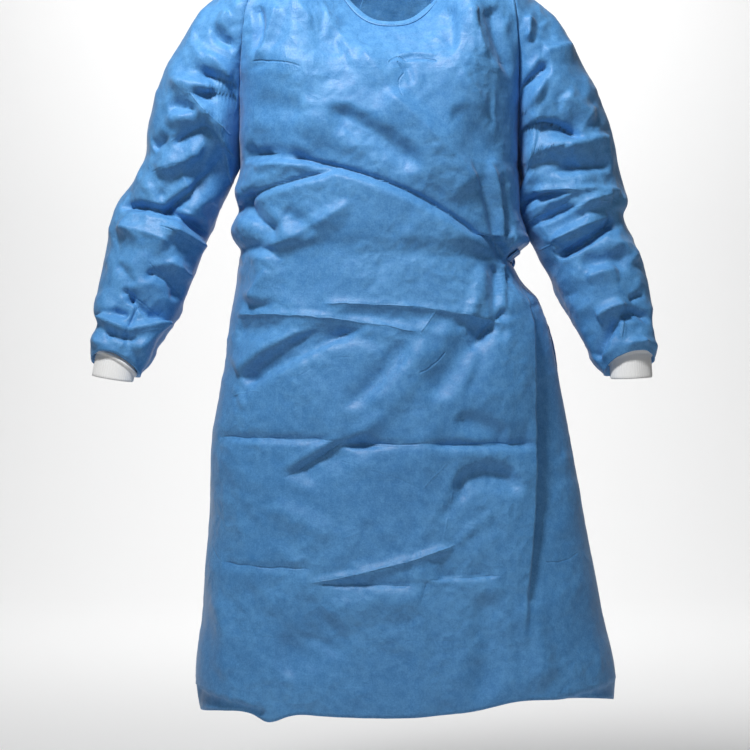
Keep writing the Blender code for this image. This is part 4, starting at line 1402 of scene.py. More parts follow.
@dataclass(frozen=True)
class Knit:
    """Fine ribbed cotton knit."""

    name: str
    colour: Colour
    shade: Colour
    wale: float = 1.9

    def make(self) -> bpy.types.Material:
        """Builds the material.

        Returns:
            The material.
        """
        tree = Tree(self.name)
        place = tree.cloth_place()
        parts = tree.node("ShaderNodeSeparateXYZ", {}, {0: place})
        across, along = Value(tree, parts.outputs[0]), Value(tree, parts.outputs[1])
        rib = (across * (math.tau / (self.wale * MM))).wave() * 0.5 + 0.5
        course = (along * (math.tau / (self.wale * 0.8 * MM))).wave() * 0.5 + 0.5
        fuzz = tree.noise(place, 900.0, 3.0, 0.6)
        # The colour is darker in the grooves between ribs and courses, which is painted shade, and
        # varies at random with the fuzz.
        tone = rib * 0.55 + course * 0.2 + fuzz * 0.35
        relief = rib * 0.7 + course * 0.25 + fuzz * 0.4
        return tree.finish(
            {
                "Base Color": tree.mix(tone.spread(0.0, 0.8), self.shade, self.colour),
                "Roughness": 0.82 + (fuzz - 0.5) * 0.2,
                "Normal": tree.bump(relief, 0.0004, 0.5),
                "Sheen Weight": 0.3,
                "Sheen Roughness": 0.5,
            }
        )


@dataclass(frozen=True)
class Finishes:
    """The gown's materials."""

    blue: bpy.types.Material
    right_sleeve: bpy.types.Material
    left_sleeve: bpy.types.Material
    trim: bpy.types.Material
    knit: bpy.types.Material
    thread: bpy.types.Material

    @classmethod
    def make(cls) -> Finishes:
        """Builds them all.

        Returns:
            The set of materials.
        """
        light, deep = (0.118, 0.35, 0.68, 1), (0.055, 0.22, 0.51, 1)
        return cls(
            blue=Nonwoven("blue_nonwoven", light, deep, THIN_LINES).make(),
            right_sleeve=Nonwoven("blue_nonwoven_right", light, deep, RIGHT_SLEEVE_LINES).make(),
            left_sleeve=Nonwoven("blue_nonwoven_left", light, deep, LEFT_SLEEVE_LINES).make(),
            trim=Nonwoven("pale_blue_trim", (0.13, 0.37, 0.7, 1), (0.07, 0.25, 0.54, 1)).make(),
            knit=Knit("white_knit", (0.9, 0.9, 0.89, 1), (0.8, 0.8, 0.795, 1)).make(),
            thread=Nonwoven("blue_thread", (0.15, 0.39, 0.71, 1), (0.09, 0.28, 0.58, 1)).make(),
        )


@dataclass
class Panels:
    """The front panel and the two back panels."""

    body: Body
    finishes: Finishes
    yoke_rows: int = 66
    row_spacing: float = 5.4
    fine_spacing: float = 2.8
    fine_bands: tuple[tuple[float, float], ...] = (
        (-325, -480), (-532, -590), (-718, -748), (-888, -946),
    )
    front_steps: tuple[int, ...] = (46, 70, 17, 3, 34)
    outer_steps: tuple[int, ...] = (42, 20, 50)
    inner_steps: tuple[int, ...] = (52, 8, 20)
    seam_gap: float = 0.35
    shoulder_gap: float = 0.9
    seam_dip: float = 1.3
    seam_reach: float = 7.0
    pucker_rise: float = 4.0
    pucker_reach: float = 26.0

    def rows(self) -> Array:
        """The panels' rows, closest together where sharp folds cross them.

        Returns:
            The rows, from 0 at the top edge to 2 at the hem.
        """
        form = self.body.form
        z = np.linspace(form.chest, form.hem, 3000)
        spacing = np.full_like(z, self.row_spacing)
        for top, bottom in self.fine_bands:
            spacing[(z <= top) & (z >= bottom)] = self.fine_spacing
        passed = np.cumsum(abs(z[1] - z[0]) / spacing)
        count = round(float(passed[-1]))
        stops = np.arange(1, count + 1) / count * passed[-1]
        skirt = 1 + np.interp(stops, passed, np.linspace(0, 1, len(z)))
        return np.concatenate([np.linspace(0, 1, self.yoke_rows + 1), skirt])

    def seam_relief(self, points: Array, sides: Sequence[int]) -> Array:
        """How far the cloth dips and puckers beside its seams.

        Args:
            points: the piece's points.
            sides: which columns are seams, 0 for the first and -1 for the last.

        Returns:
            A height for each point.
        """
        total = np.zeros(points.shape[:2])
        puckers = Ripple(71, 11, 0.8)
        for edge in sides:
            away = np.linalg.norm(points - points[:, [edge]], axis=-1)
            dip = -self.seam_dip * smooth_step(1 - away / self.seam_reach)
            along = np.cumsum(np.linalg.norm(np.gradient(points[:, edge], axis=0), axis=-1))
            wave = puckers.at(along, np.zeros_like(along))[:, None]
            near = smooth_step(away / self.pucker_rise) * smooth_step(1 - away / self.pucker_reach)
            total += dip + wave * near
        return total

    def grid(self, stops: Sequence[Array], steps: Sequence[int]) -> tuple[Array, Array]:
        """Columns and rows of a panel, as two grids."""
        u = stations(stops, steps)
        return u, np.broadcast_to(self.rows()[:, None], u.shape)

    def front(self) -> Array:
        """The front panel.

        Returns:
            Its rows and columns of points.
        """
        form, down = self.body.form, self.rows()
        foot = form.pleat_column + form.pleat_rise
        edges = (-1, -form.neck_share, form.neck_share, form.pleat_column, foot, 1)
        u, rows = self.grid([np.full_like(down, e) for e in edges], self.front_steps)
        dip = self.seam_relief(self.body.point(u, rows, Side.FRONT), (0, -1))
        return self.body.point(u, rows, Side.FRONT, dip)

    def back_outer(self) -> Array:
        """The back panel from the -X side seam to its free edge.

        Returns:
            Its rows and columns of points.
        """
        form, down = self.body.form, self.rows()
        seam, neck = np.full_like(down, -1.0), np.full_like(down, -form.neck_share)
        stops = [seam, neck, form.flap("inner", down), form.flap("outer", down)]
        u, rows = self.grid(stops, self.outer_steps)
        dip = self.seam_relief(self.body.point(u, rows, Side.BACK), (0,))
        return self.body.point(u, rows, Side.BACK, dip)

    def back_inner(self) -> Array:
        """The back panel from its free edge, under the outer one, to the +X side seam.

        Returns:
            Its rows and columns of points.
        """
        form, down = self.body.form, self.rows()
        stops = [form.flap("inner", down), form.flap("outer", down), form.flap("corner", down)]
        u, rows = self.grid([*stops, np.full_like(down, 1.0)], self.inner_steps)
        dip = self.seam_relief(self.body.inner(u, rows), (-1,))
        return self.body.inner(u, rows, dip)

    def build(self) -> dict[str, Array]:
        """Makes the panels.

        Returns:
            Their points before they are parted at the seams, by name.
        """
        whole = {
            "front": self.front(),
            "back_outer": self.back_outer(),
            "back_inner": self.back_inner(),
        }
        cuts = {
            "front": ((770.0, 1160.0), 0.75),
            "back_outer": ((650.0, 1160.0), 0.62),
            "back_inner": ((530.0, 1160.0), 0.5),
        }
        for name, points in whole.items():
            points = drawn_back(points, 0, self.shoulder_gap / 2)
            if name != "back_inner":
                points = drawn_aside(points, 0, self.seam_gap / 2)
            if name != "back_outer":
                points = drawn_aside(points, -1, self.seam_gap / 2)
            flat, area = cuts[name]
            blue = self.finishes.blue
            # The front carries a painted highlight along its pleat's ridge.
            ridge_highlight = self.ridge(points) if name == "front" else None
            Cloth(name, points, blue, "blue_nonwoven", flat, area, edge=ridge_highlight).build()
        return whole

    def ridge(self, points: Array) -> Array:
        """A painted highlight on the front's colour: most along the pleat's ridge, between the tie
        and the hem.

        Args:
            points: the front's points.

        Returns:
            0 to 1 at each point.
        """
        ridge_highlight = np.zeros(points.shape[:2])
        column = sum(self.front_steps[:3])
        depth = read_table(self.body.form.pleat, "depth", points[:, column, 2])
        ridge_highlight[:, column] = smooth_step(depth / 16)
        return ridge_highlight

    def armhole(self, whole: Mapping[str, Array], column: int) -> Array:
        """The loop that a sleeve is sewn to: down the front's edge and up the back's.

        Args:
            whole: the panels' points by name.
            column: 0 for the -X side, -1 for the other.

        Returns:
            The loop's points.
        """
        back = whole["back_outer" if column == 0 else "back_inner"]
        deep = self.yoke_rows + 1
        front = whole["front"][:deep, column]
        return np.concatenate([front, back[deep - 2 : 0 : -1, column]])


@dataclass(frozen=True)
class CuffAxis:
    """A knitted cuff's place: from its hidden top to its bottom edge."""

    top: tuple[float, float, float]
    bottom: tuple[float, float, float]
    seam_middle: float
    seam_lean: float
    seam_rise: float
    half_width: float = 31.0
    half_depth: float = 25.0

    def ring(self, around: Array, share: Array | float, extra: Array | float) -> Array:
        """Points on or outside the cuff.

        Args:
            around: angles round the cuff.
            share: the share of the way down it.
            extra: how far outside it.

        Returns:
            The points.
        """
        top, bottom = np.array(self.top), np.array(self.bottom)
        axis = unit(bottom - top)
        wide = unit(np.array([np.sign(top[0]), 0.0, 0.0]) - axis * axis[0] * np.sign(top[0]))
        deep = np.cross(axis, wide)
        deep *= -np.sign(deep[1])
        share, extra = np.broadcast_arrays(share, extra, around)[:2]
        across = ((self.half_width + extra) * np.cos(around))[..., None] * wide
        forward = ((self.half_depth + extra) * np.sin(around))[..., None] * deep
        return top + (bottom - top) * share[..., None] + across + forward

    def seam(self, around: Array) -> Array:
        """How far down the cuff the sleeve is sewn on, lower on the cuff's inner side."""
        rise = self.seam_rise * np.clip(np.sin(around), 0, 1)
        return self.seam_middle - self.seam_lean * np.cos(around) - rise


@dataclass
class Sleeve:
    """A set-in sleeve, gathered into its cuff."""

    name: str
    rings: tuple[Ring, ...]
    drapes: Mapping[Side, Drape]
    cuff: CuffAxis
    finishes: Finishes
    rows: int = 176
    armhole_gap: float = 0.8
    end_rows: int = 8
    lobe: float = 6.0
    front_lift: float = 10.0
    lifted_rings: float = 5.0
    fold_scale: float = 1.4
    clearance: float = 1.0
    squareness: float = 0.92
    turned_rings: int = 6
    side_blend: float = 2.4
    fold_fade: float = 30.0
    end_fade: float = 0.8
    seam_dip: float = 1.3
    seam_reach: float = 7.0
    pucker_rise: float = 4.0
    pucker_reach: float = 30.0
    mean_radius: float = 28.0
    gather_reach: float = 34.0

    def around(self, count: int) -> Array:
        """Even angles round the sleeve, from its outer side over the front."""
        return np.arange(count) / count * 2 * np.pi

    def outline(self, loop: Array) -> Array:
        """The smooth sleeve's points in rings, from the armhole loop down.

        Args:
            loop: the armhole's points.

        Returns:
            Rings of points.
        """
        even = self.around(len(loop))
        centre, reach = (loop.max(axis=0) + loop.min(axis=0)) / 2, np.ptp(loop, axis=0) / 2
        polar = np.arctan2(-(loop - centre)[:, 1] / reach[1], (loop - centre)[:, 2] / reach[2])
        polar = even + np.mod(polar - even + np.pi, 2 * np.pi) - np.pi
        outer = np.array([(r.outer_x, r.middle_y, r.outer_z) for r in self.rings], float)
        inner = np.array([(r.inner_x, r.middle_y, r.inner_z) for r in self.rings], float)
        middle, major = (outer + inner) / 2, (outer - inner) / 2
        forward = unit(np.cross(unit(np.gradient(middle, axis=0)), major))
        forward *= -np.sign(forward[:, 1:2])
        rings = [loop]
        for k, row in enumerate(self.rings):
            # The first rings keep the armhole's own spacing, so that the cloth isn't twisted.
            turn = polar + (even - polar) * smooth_step((k + 1) / self.turned_rings)
            wide = major[k] * signed_power(np.cos(turn), self.squareness)[:, None]
            deep = forward[k] * row.half_depth * signed_power(np.sin(turn), self.squareness)[:, None]
            near_end = smooth_step(1 - (len(self.rings) - 1 - k) / self.lifted_rings)
            lift = self.front_lift * near_end * np.clip(np.sin(turn), 0, 1)
            rings.append(middle[k] + wide + deep + lift[:, None] * np.array([0.0, 0.0, 1.0]))
        return np.array(rings)

    def lengthwise(self, rings: Array) -> tuple[Array, Array]:
        """The rings read on smooth curves.

        Args:
            rings: the rings that the sleeve is given by.

        Returns:
            The new rings, and the place of each among the old ones.
        """
        slopes = np.gradient(rings, axis=0)
        last = len(rings) - 1
        spans = np.linalg.norm(np.diff(rings, axis=0), axis=-1).mean(axis=1)
        travel = np.concatenate([[0], np.cumsum(spans)])
        along = np.interp(np.linspace(0, travel[-1], self.rows), travel, np.arange(last + 1))
        row = np.clip(np.floor(along).astype(int), 0, last - 1)
        t = (along - row)[:, None, None]
        start = (1 + 2 * t) * (1 - t) ** 2 * rings[row] + t * (1 - t) ** 2 * slopes[row]
        end = t * t * (3 - 2 * t) * rings[row + 1] + t * t * (t - 1) * slopes[row + 1]
        return start + end, along

    def relief(self, points: Array, along: Array) -> Array:
        """The folds' height, from the drape that each point faces.

        Args:
            points: the smooth sleeve's points.
            along: where each ring lies among the given ones.

        Returns:
            The height at each point.
        """
        normal = unit(points - points.mean(axis=1, keepdims=True))
        facing = normal[..., 1] * self.side_blend
        height = np.zeros(points.shape[:2])
        for side, sign in ((Side.FRONT, -1), (Side.BACK, 1)):
            folds = self.drapes[side].at(points[..., 0], points[..., 2])
            height += folds * smooth_step(sign * facing)
        left = len(self.rings) - along
        travel = np.linalg.norm(points - points[:1], axis=-1)
        fade = smooth_step(travel / self.fold_fade) * smooth_step(left / self.end_fade)[:, None]
        height *= self.fold_scale * fade
        height -= self.seam_dip * smooth_step(1 - travel / self.seam_reach)
        reach = np.cumsum(np.linalg.norm(np.gradient(points[0], axis=0), axis=-1))
        puckers = Ripple(73, 12, 1.0).at(reach, np.zeros_like(reach))
        near = smooth_step(travel / self.pucker_rise) * smooth_step(1 - travel / self.pucker_reach)
        height += puckers * near
        return height

    def gathers(self, points: Array) -> Array:
        """The height of the gathers that fan out from the cuff's seam.

        Args:
            points: the smooth sleeve's points.

        Returns:
            The height at each point.
        """
        around = self.around(points.shape[1])
        reach = around * self.mean_radius
        left = np.linalg.norm(points - points[-1:], axis=-1)
        big = Ripple(75, 15, 2.6).at(reach, np.zeros_like(reach))
        small = Ripple(77, 6.5, 1.1).at(reach, np.zeros_like(reach))
        blend = smooth_step((np.pi * 2 - around) / 0.5) * smooth_step(around / 0.5)
        return (big + small) * blend * smooth_step(1 - left / self.gather_reach)

    def points(self, loop: Array) -> Array:
        """All the sleeve's points, down to the seam round the cuff.

        Args:
            loop: the armhole's points.

        Returns:
            Rings of points.
        """
        points, along = self.lengthwise(self.outline(loop))
        normal = unit(points - points.mean(axis=1, keepdims=True))
        height = self.relief(points, along) + self.gathers(points)
        points = points + normal * height[..., None]
        around = self.around(len(loop))
        seam = self.cuff.ring(around, self.cuff.seam(around), self.clearance)
        end = points[-1]
        low = np.array([0.0, 0.0, -1.0])
        depth = self.lobe * (0.35 + 0.65 * np.cos(around) ** 2)
        rolled = []
        for k in range(1, self.end_rows + 1):
            t = k / self.end_rows
            sag = np.sin(np.pi * t**0.8) * depth
            rolled.append(end + (seam - end) * t**1.4 + sag[:, None] * low)
        return np.concatenate([points, np.array(rolled)])

    def build(self, loop: Array) -> bpy.types.Object:
        """Makes the sleeve on its armhole loop.

        Args:
            loop: the armhole's points.

        Returns:
            The sleeve.
        """
        points = drawn_back(self.points(loop), 0, self.armhole_gap)
        flat = (490.0, 600.0)
        right = self.name == "sleeve_right"
        blue = self.finishes.right_sleeve if right else self.finishes.left_sleeve
        sleeve = Cloth(self.name, points, blue, "blue_nonwoven", flat, 0.245, tube=True)
        return sleeve.build()


@dataclass
class Cuff:
    """A knitted cuff with a rolled rim at its seam."""

    name: str
    axis: CuffAxis
    finishes: Finishes
    ribs: int = 54
    columns_a_rib: int = 6
    rows: int = 34
    rib_height: float = 0.3
    level: float = 0.12
    rim_height: float = 3.2
    rim_share: float = 0.17
    rim_start: float = 0.03
    hidden_share: float = 0.14
    mean_radius: float = 28.0
    wall: float = 1.6

    def build(self) -> bpy.types.Object:
        """Makes the cuff.

        Returns:
            The cuff.
        """
        columns = self.ribs * self.columns_a_rib
        around = np.arange(columns) / columns * 2 * np.pi
        down = np.linspace(0, 1, self.rows)[:, None]
        top = self.axis.seam(around) - self.hidden_share
        end = 1 + self.level * np.sin(around)
        share = top + (end - top) * down
        past = (share - self.axis.seam(around) - self.rim_start) / self.rim_share
        rim = np.sin(np.pi * np.clip(past, 0, 1)) ** 0.7 * self.rim_height
        rib = (np.cos(around * self.ribs) - 1) / 2 * self.rib_height
        wave = Ripple(81, 16, 0.7).at(around * self.mean_radius, np.zeros_like(around))
        loose = wave * smooth_step((np.pi * 2 - around) / 0.6) * smooth_step(around / 0.6)
        extra = rim + rib * (0.4 + 0.6 * smooth_step(past - 1)) + loose * down
        extra = extra - 0.9 * smooth_step(1 - (1 - down) / 0.06)
        points = self.axis.ring(np.broadcast_to(around, share.shape), share, extra)
        knit = self.finishes.knit
        flat = (185.0, 50.0)
        cuff = Cloth(self.name, points, knit, "white_knit", flat, held="stretched", tube=True)
        cuff.wall = self.wall
        return cuff.build()


def surface_normals(points: Array) -> Array:
    """Normals of a grid of points on the body, away from its middle.

    Args:
        points: rows and columns of points.

    Returns:
        The normals.
    """
    normal = unit(np.cross(np.gradient(points, axis=0), np.gradient(points, axis=1)))
    away = points - np.array([BodyForm.neck_middle, 0.0, 0.0])
    away[..., 2] = np.maximum(away[..., 2] + 60.0, 0.0)
    return normal * np.where((normal * away).sum(axis=-1, keepdims=True) < 0, -1, 1)


@dataclass
class NeckFinish:
    """The strip that binds the neckline, and the touch fastener behind the neck."""

    panels: Panels
    whole: Mapping[str, Array]
    section: tuple[tuple[float, float], ...] = (
        (-1.6, 0.5), (-1.2, 1.1), (0.4, 1.5), (2.4, 1.5), (4.6, 1.3),
        (6.8, 1.1), (8.4, 0.8), (9.2, 0.2), (9.3, -0.7), (8.8, -1.4),
    )
    fastener_rows: tuple[float, float] = (0.082, 0.142)
    fastener_columns: tuple[float, float] = (-0.034, 0.154)

    def edge(self) -> tuple[Array, Array, Array]:
        """The neckline from the outer flap round the front to the inner flap.

        Returns:
            Its points, the cloth's normals there, and the ways into the opening.
        """
        front, outer = self.panels.front_steps, self.panels.outer_steps
        inner = self.panels.inner_steps
        legs = [
            ("back_outer", range(sum(outer), outer[0], -1)),
            ("front", range(front[0], front[0] + front[1] + 1)),
            ("back_inner", range(inner[0] + inner[1] - 1, -1, -1)),
        ]
        edge = np.concatenate([self.whole[name][0, list(places)] for name, places in legs])
        normals = [surface_normals(self.whole[name])[0, list(places)] for name, places in legs]
        normal = np.concatenate(normals)
        inward = unit(np.cross(unit(np.gradient(edge, axis=0)), normal))
        centre = np.array([BodyForm.neck_middle, 0.0, 0.0])
        inward *= np.where(((centre - edge) * inward).sum(axis=-1, keepdims=True) < 0, -1, 1)
        return edge, normal, inward

    def line(self, inward_by: float, out: float) -> Array:
        """A line along the binding."""
        edge, normal, inward = self.edge()
        return edge + inward * inward_by + normal * out

    def build(self) -> None:
        """Makes the binding and the fastener."""
        edge, normal, inward = self.edge()
        wave = Ripple(91, 9, 0.3).at(np.arange(len(edge)) * 3.0, np.zeros(len(edge)))
        rows = [edge + inward * a + normal * (b + wave[:, None]) for a, b in self.section]
        trim = self.panels.finishes.trim
        flat, area = (20.0, 620.0), 0.0095
        strip = Cloth("neck_binding", np.array(rows), trim, "pale_blue_trim", flat, area)
        strip.wall = 0.7
        strip.rests_on = ("front_cloth",)
        strip.build()
        down = np.linspace(*self.fastener_rows, 12)[:, None]
        u = np.linspace(*self.fastener_columns, 26)[None, :]
        u, down = np.broadcast_arrays(u, down)
        patch = self.panels.body.inner(u, down, 2.0)
        flat = (43.0, 30.0)
        hook = Cloth("neck_fastener", patch, trim, "pale_blue_trim", flat, held="laid")
        hook.wall = 1.2
        hook.rests_on = ("back_inner_cloth",)
        hook.build()


class TailEdge(NamedTuple):
    """A tail of the tie at one height: its two edges' columns, and how far it stands off."""

    z: float
    near: float
    far: float
    out: float


@dataclass
class WaistTie:
    """The tie round the waist: its two ends, their knot, and two tails that hang from it."""

    body: Body
    finishes: Finishes
    top: float = -455.0
    bottom: float = -473.0
    out: float = 1.7
    knot_column: float = 0.84
    knot_size: tuple[float, float, float] = (7.0, 12.0, 9.0)
    long_tail: tuple[TailEdge, ...] = (
        TailEdge(-722, 0.852, 0.934, 2.2),
        TailEdge(-690, 0.856, 0.938, 3.6),
        TailEdge(-640, 0.846, 0.926, 1.6),
        TailEdge(-590, 0.850, 0.936, 3.8),
        TailEdge(-545, 0.846, 0.934, 1.6),
        TailEdge(-510, 0.843, 0.928, 3.0),
        TailEdge(-490, 0.842, 0.906, 5.0),
        TailEdge(-476, 0.842, 0.875, 8.0),
        TailEdge(-466, 0.842, 0.862, 9.0),
    )
    short_tail: tuple[TailEdge, ...] = (
        TailEdge(-676, 0.748, 0.830, 3.0),
        TailEdge(-640, 0.750, 0.832, 1.6),
        TailEdge(-595, 0.742, 0.824, 3.4),
        TailEdge(-545, 0.746, 0.832, 1.6),
        TailEdge(-510, 0.752, 0.834, 3.2),
        TailEdge(-490, 0.772, 0.836, 5.0),
        TailEdge(-476, 0.804, 0.838, 8.0),
        TailEdge(-466, 0.818, 0.838, 9.0),
    )

    def strip(self, name: str, points: Array, flat: tuple[float, float], panel: str) -> None:
        """Adds one stretch of the tie, whose wall stands outside its points.

        Args:
            name: the piece's name.
            points: rows and columns of points.
            flat: the width and length of its cloth.
            panel: the piece that it rests on.
        """
        blue = self.finishes.blue
        piece = Cloth(name, points, blue, "blue_nonwoven", flat, held="laid")
        piece.wall, piece.offset = 0.6, 1.0
        piece.rests_on = (panel,)
        piece.build()

    def crumple(self, shape: tuple[int, int], seed: int) -> Array:
        """Small waves across a strip, none of which reach below its own base."""
        rows, columns = np.indices(shape)
        return 0.8 + Ripple(seed, 7, 0.8).at(columns * 3.0, rows * 1.5)

    def band(self) -> None:
        """The end that runs from the front round the side to the knot."""
        form = self.body.form
        down = form.down_at(np.linspace(self.top, self.bottom, 9))[:, None]
        columns = 46
        ahead = np.linspace(0.76, 1, columns)[None, :]
        behind = np.linspace(1, 0.862, 18)[None, 1:]
        wave = self.crumple((len(down), columns + behind.size), 93) + self.out
        front = self.body.point(*np.broadcast_arrays(ahead, down), Side.FRONT, wave[:, :columns])
        back = self.body.inner(*np.broadcast_arrays(behind, down), wave[:, columns:])
        points = np.concatenate([front, back], axis=1)
        self.strip("tie_front", points, (118.0, 18.0), "front_cloth")

    def flap_end(self) -> None:
        """The end that is sewn to the outer back panel."""
        form = self.body.form
        down = form.down_at(np.linspace(self.top, self.bottom, 9))[:, None]
        u, down = np.broadcast_arrays(np.linspace(0.38, 0.815, 60)[None, :], down)
        wave = self.crumple(u.shape, 95) + self.out
        past = smooth_step((u - 0.715) / 0.05)
        outer = self.body.point(u, down, Side.BACK, wave)
        points = outer + (self.body.inner(u, down, wave) - outer) * past[..., None]
        self.strip("tie_flap", points, (122.0, 18.0), "back_outer_cloth")

    def tail(self, name: str, table: tuple[TailEdge, ...], length: float, seed: int) -> None:
        """A tail that hangs down the back from the knot.

        Args:
            name: the piece's name.
            table: its edges.
            length: the length of its cloth.
            seed: the seed of its waves.
        """
        z = np.linspace(table[-1].z, table[0].z, 84)
        near, far = read_table(table, "near", z), read_table(table, "far", z)
        share = np.linspace(0, 1, 11)
        u = near[:, None] + (far - near)[:, None] * share
        down = np.broadcast_to(self.body.form.down_at(z)[:, None], u.shape)
        curl = 1.2 * np.cos(share * np.pi * 2) * np.sin(z / 34.0)[:, None]
        out = read_table(table, "out", z)[:, None] + 1.2 + curl + self.crumple(u.shape, seed) * 0.5
        self.strip(name, self.body.inner(u, down, out), (26.0, length), "back_inner_cloth")

    def knot(self) -> None:
        """The knot: a core with two turns of the band drawn tight round it."""
        z = (self.top + self.bottom) / 2
        u, down = np.array([self.knot_column]), np.array([self.body.form.down_at(z)])
        base = self.body.inner(u, down)[0]
        place = self.body.inner(u, down, self.knot_size[0] + 1.6)[0]
        away = unit((place - base) * np.array([1.0, 1.0, 0.0]))
        aside = np.array([-away[1], away[0], 0.0])
        up = np.array([0.0, 0.0, 1.0])
        verts: list[Array] = []
        faces: list[tuple[int, ...]] = []
        out_size, side_size, up_size = self.knot_size
        turns = (
            (0.0, 0.0, 1.0, 6.0),
            (0.9, 2.0, 1.04, 5.0),
            (-0.8, -3.0, 1.02, 4.6),
            (1.57, 0.0, 0.9, 5.0),
        )
        for lean, shift, scale, half_width in turns:
            # Each turn runs over the top and the outside, leaning to one side.
            along = unit(up * math.cos(lean) + aside * math.sin(lean))
            across = np.cross(away, along)
            reach = scale * (up_size * abs(math.cos(lean)) + side_size * abs(math.sin(lean)))
            first = len(verts)
            around, section = 36, 10
            for i in range(around):
                a = i / around * math.tau
                way = along * math.cos(a) * reach + away * math.sin(a) * out_size * scale
                for k in range(section):
                    b = k / section * math.tau
                    wide = across * (half_width * math.cos(b) + shift)
                    thick = unit(way) * 1.5 * math.sin(b) * (1 + 0.25 * math.sin(3 * a + shift))
                    verts.append(place + way + wide + thick)
            for i in range(around):
                for k in range(section):
                    j, m = (i + 1) % around, (k + 1) % section
                    ring, after = first + i * section, first + j * section
                    faces.append((ring + k, ring + m, after + m, after + k))
        mesh = bpy.data.meshes.new("tie_knot_cloth")
        mesh.from_pydata([tuple(vert * MM) for vert in verts], [], faces)
        mesh.uv_layers.new(name="cloth")
        work = bmesh.new()
        work.from_mesh(mesh)
        bmesh.ops.recalc_face_normals(work, faces=work.faces)
        places = work.loops.layers.uv["cloth"]
        for face in work.faces:
            for loop in face.loops:
                loop[places].uv = (loop.vert.co.x + loop.vert.co.y, loop.vert.co.z)
        work.to_mesh(mesh)
        work.free()
        mesh.shade_smooth()
        piece = add_object("tie_knot_cloth", mesh, self.finishes.blue)
        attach(piece, "root")
        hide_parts("tie_knot")
        log.info("tie_knot: %d turns", len(turns))

    def build(self) -> None:
        """Makes the whole tie."""
        self.band()
        self.flap_end()
        self.knot()
        self.tail("tie_tail_long", self.long_tail, 258.0, 97)
        self.tail("tie_tail_short", self.short_tail, 212.0, 99)


@dataclass
class Stitching:
    """Stitches set along seam lines by Geometry Nodes."""

    finishes: Finishes
    pitch: float = 3.8
    length: float = 2.7
    width: float = 0.62

    def tree(self) -> bpy.types.GeometryNodeTree:
        """Builds the node tree: a flattened bead at each pitch along a curve.

        Returns:
            The tree.
        """
        tree = bpy.data.node_groups.new("stitches", "GeometryNodeTree")
        tree.interface.new_socket("Geometry", in_out="INPUT", socket_type="NodeSocketGeometry")
        for name in ("Pitch", "Stitch Length", "Stitch Width"):
            tree.interface.new_socket(name, in_out="INPUT", socket_type="NodeSocketFloat")
        tree.interface.new_socket("Geometry", in_out="OUTPUT", socket_type="NodeSocketGeometry")
        nodes, link = tree.nodes, tree.links.new
        given, result = nodes.new("NodeGroupInput"), nodes.new("NodeGroupOutput")
        curve = nodes.new("GeometryNodeMeshToCurve")
        spots = nodes.new("GeometryNodeCurveToPoints")
        spots.mode = "LENGTH"
        bead = nodes.new("GeometryNodeMeshUVSphere")
        bead.inputs["Segments"].default_value = 6
        bead.inputs["Rings"].default_value = 4
        bead.inputs["Radius"].default_value = 0.5
        size = nodes.new("ShaderNodeCombineXYZ")
        shape = nodes.new("GeometryNodeTransform")
        places = nodes.new("GeometryNodeInstanceOnPoints")
        real = nodes.new("GeometryNodeRealizeInstances")
        paint = nodes.new("GeometryNodeSetMaterial")
        paint.inputs["Material"].default_value = self.finishes.thread
        link(given.outputs["Geometry"], curve.inputs["Mesh"])
        link(curve.outputs["Curve"], spots.inputs["Curve"])
        link(given.outputs["Pitch"], spots.inputs["Length"])
        link(given.outputs["Stitch Width"], size.inputs["X"])
        link(given.outputs["Stitch Width"], size.inputs["Y"])
        link(given.outputs["Stitch Length"], size.inputs["Z"])
        link(bead.outputs["Mesh"], shape.inputs["Geometry"])
        link(size.outputs["Vector"], shape.inputs["Scale"])
        link(spots.outputs["Points"], places.inputs["Points"])
        link(spots.outputs["Rotation"], places.inputs["Rotation"])
        link(shape.outputs["Geometry"], places.inputs["Instance"])
        link(places.outputs["Instances"], real.inputs["Geometry"])
        link(real.outputs["Geometry"], paint.inputs["Geometry"])
        link(paint.outputs["Geometry"], result.inputs["Geometry"])
        return tree

    def build(self, name: str, lines: Sequence[Array], slot: str) -> bpy.types.Object:
        """Sews along lines of points.

        Args:
            name: the piece's name.
            lines: each seam line's points, in millimetres.
            slot: the material slot that the thread belongs to; not used.

        Returns:
            The stitches, as one plain mesh.
        """
        verts, edges = [], []
        for line in lines:
            first = len(verts)
            verts += [tuple(point * MM) for point in line]
            edges += [(first + k, first + k + 1) for k in range(len(line) - 1)]
        path = bpy.data.meshes.new(name + "_path")
        path.from_pydata(verts, edges, [])
        guide = bpy.data.objects.new(name + "_path", path)
        bpy.context.scene.collection.objects.link(guide)
        modifier = guide.modifiers.new("Stitches", "NODES")
        modifier.node_group = self.tree()
        sizes = {"Pitch": self.pitch, "Stitch Length": self.length, "Stitch Width": self.width}
        for socket in modifier.node_group.interface.items_tree:
            if socket.name in sizes:
                modifier[socket.identifier] = sizes[socket.name] * MM
        graph = bpy.context.evaluated_depsgraph_get()
        mesh = bpy.data.meshes.new_from_object(guide.evaluated_get(graph), depsgraph=graph)
        mesh.name = name
        bpy.data.objects.remove(guide, do_unlink=True)
        piece = bpy.data.objects.new(name, mesh)
        bpy.context.scene.collection.objects.link(piece)
        mesh.shade_smooth()
        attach(piece, "root")
        log.info("%s: %d faces", name, len(mesh.polygons))
        return piece


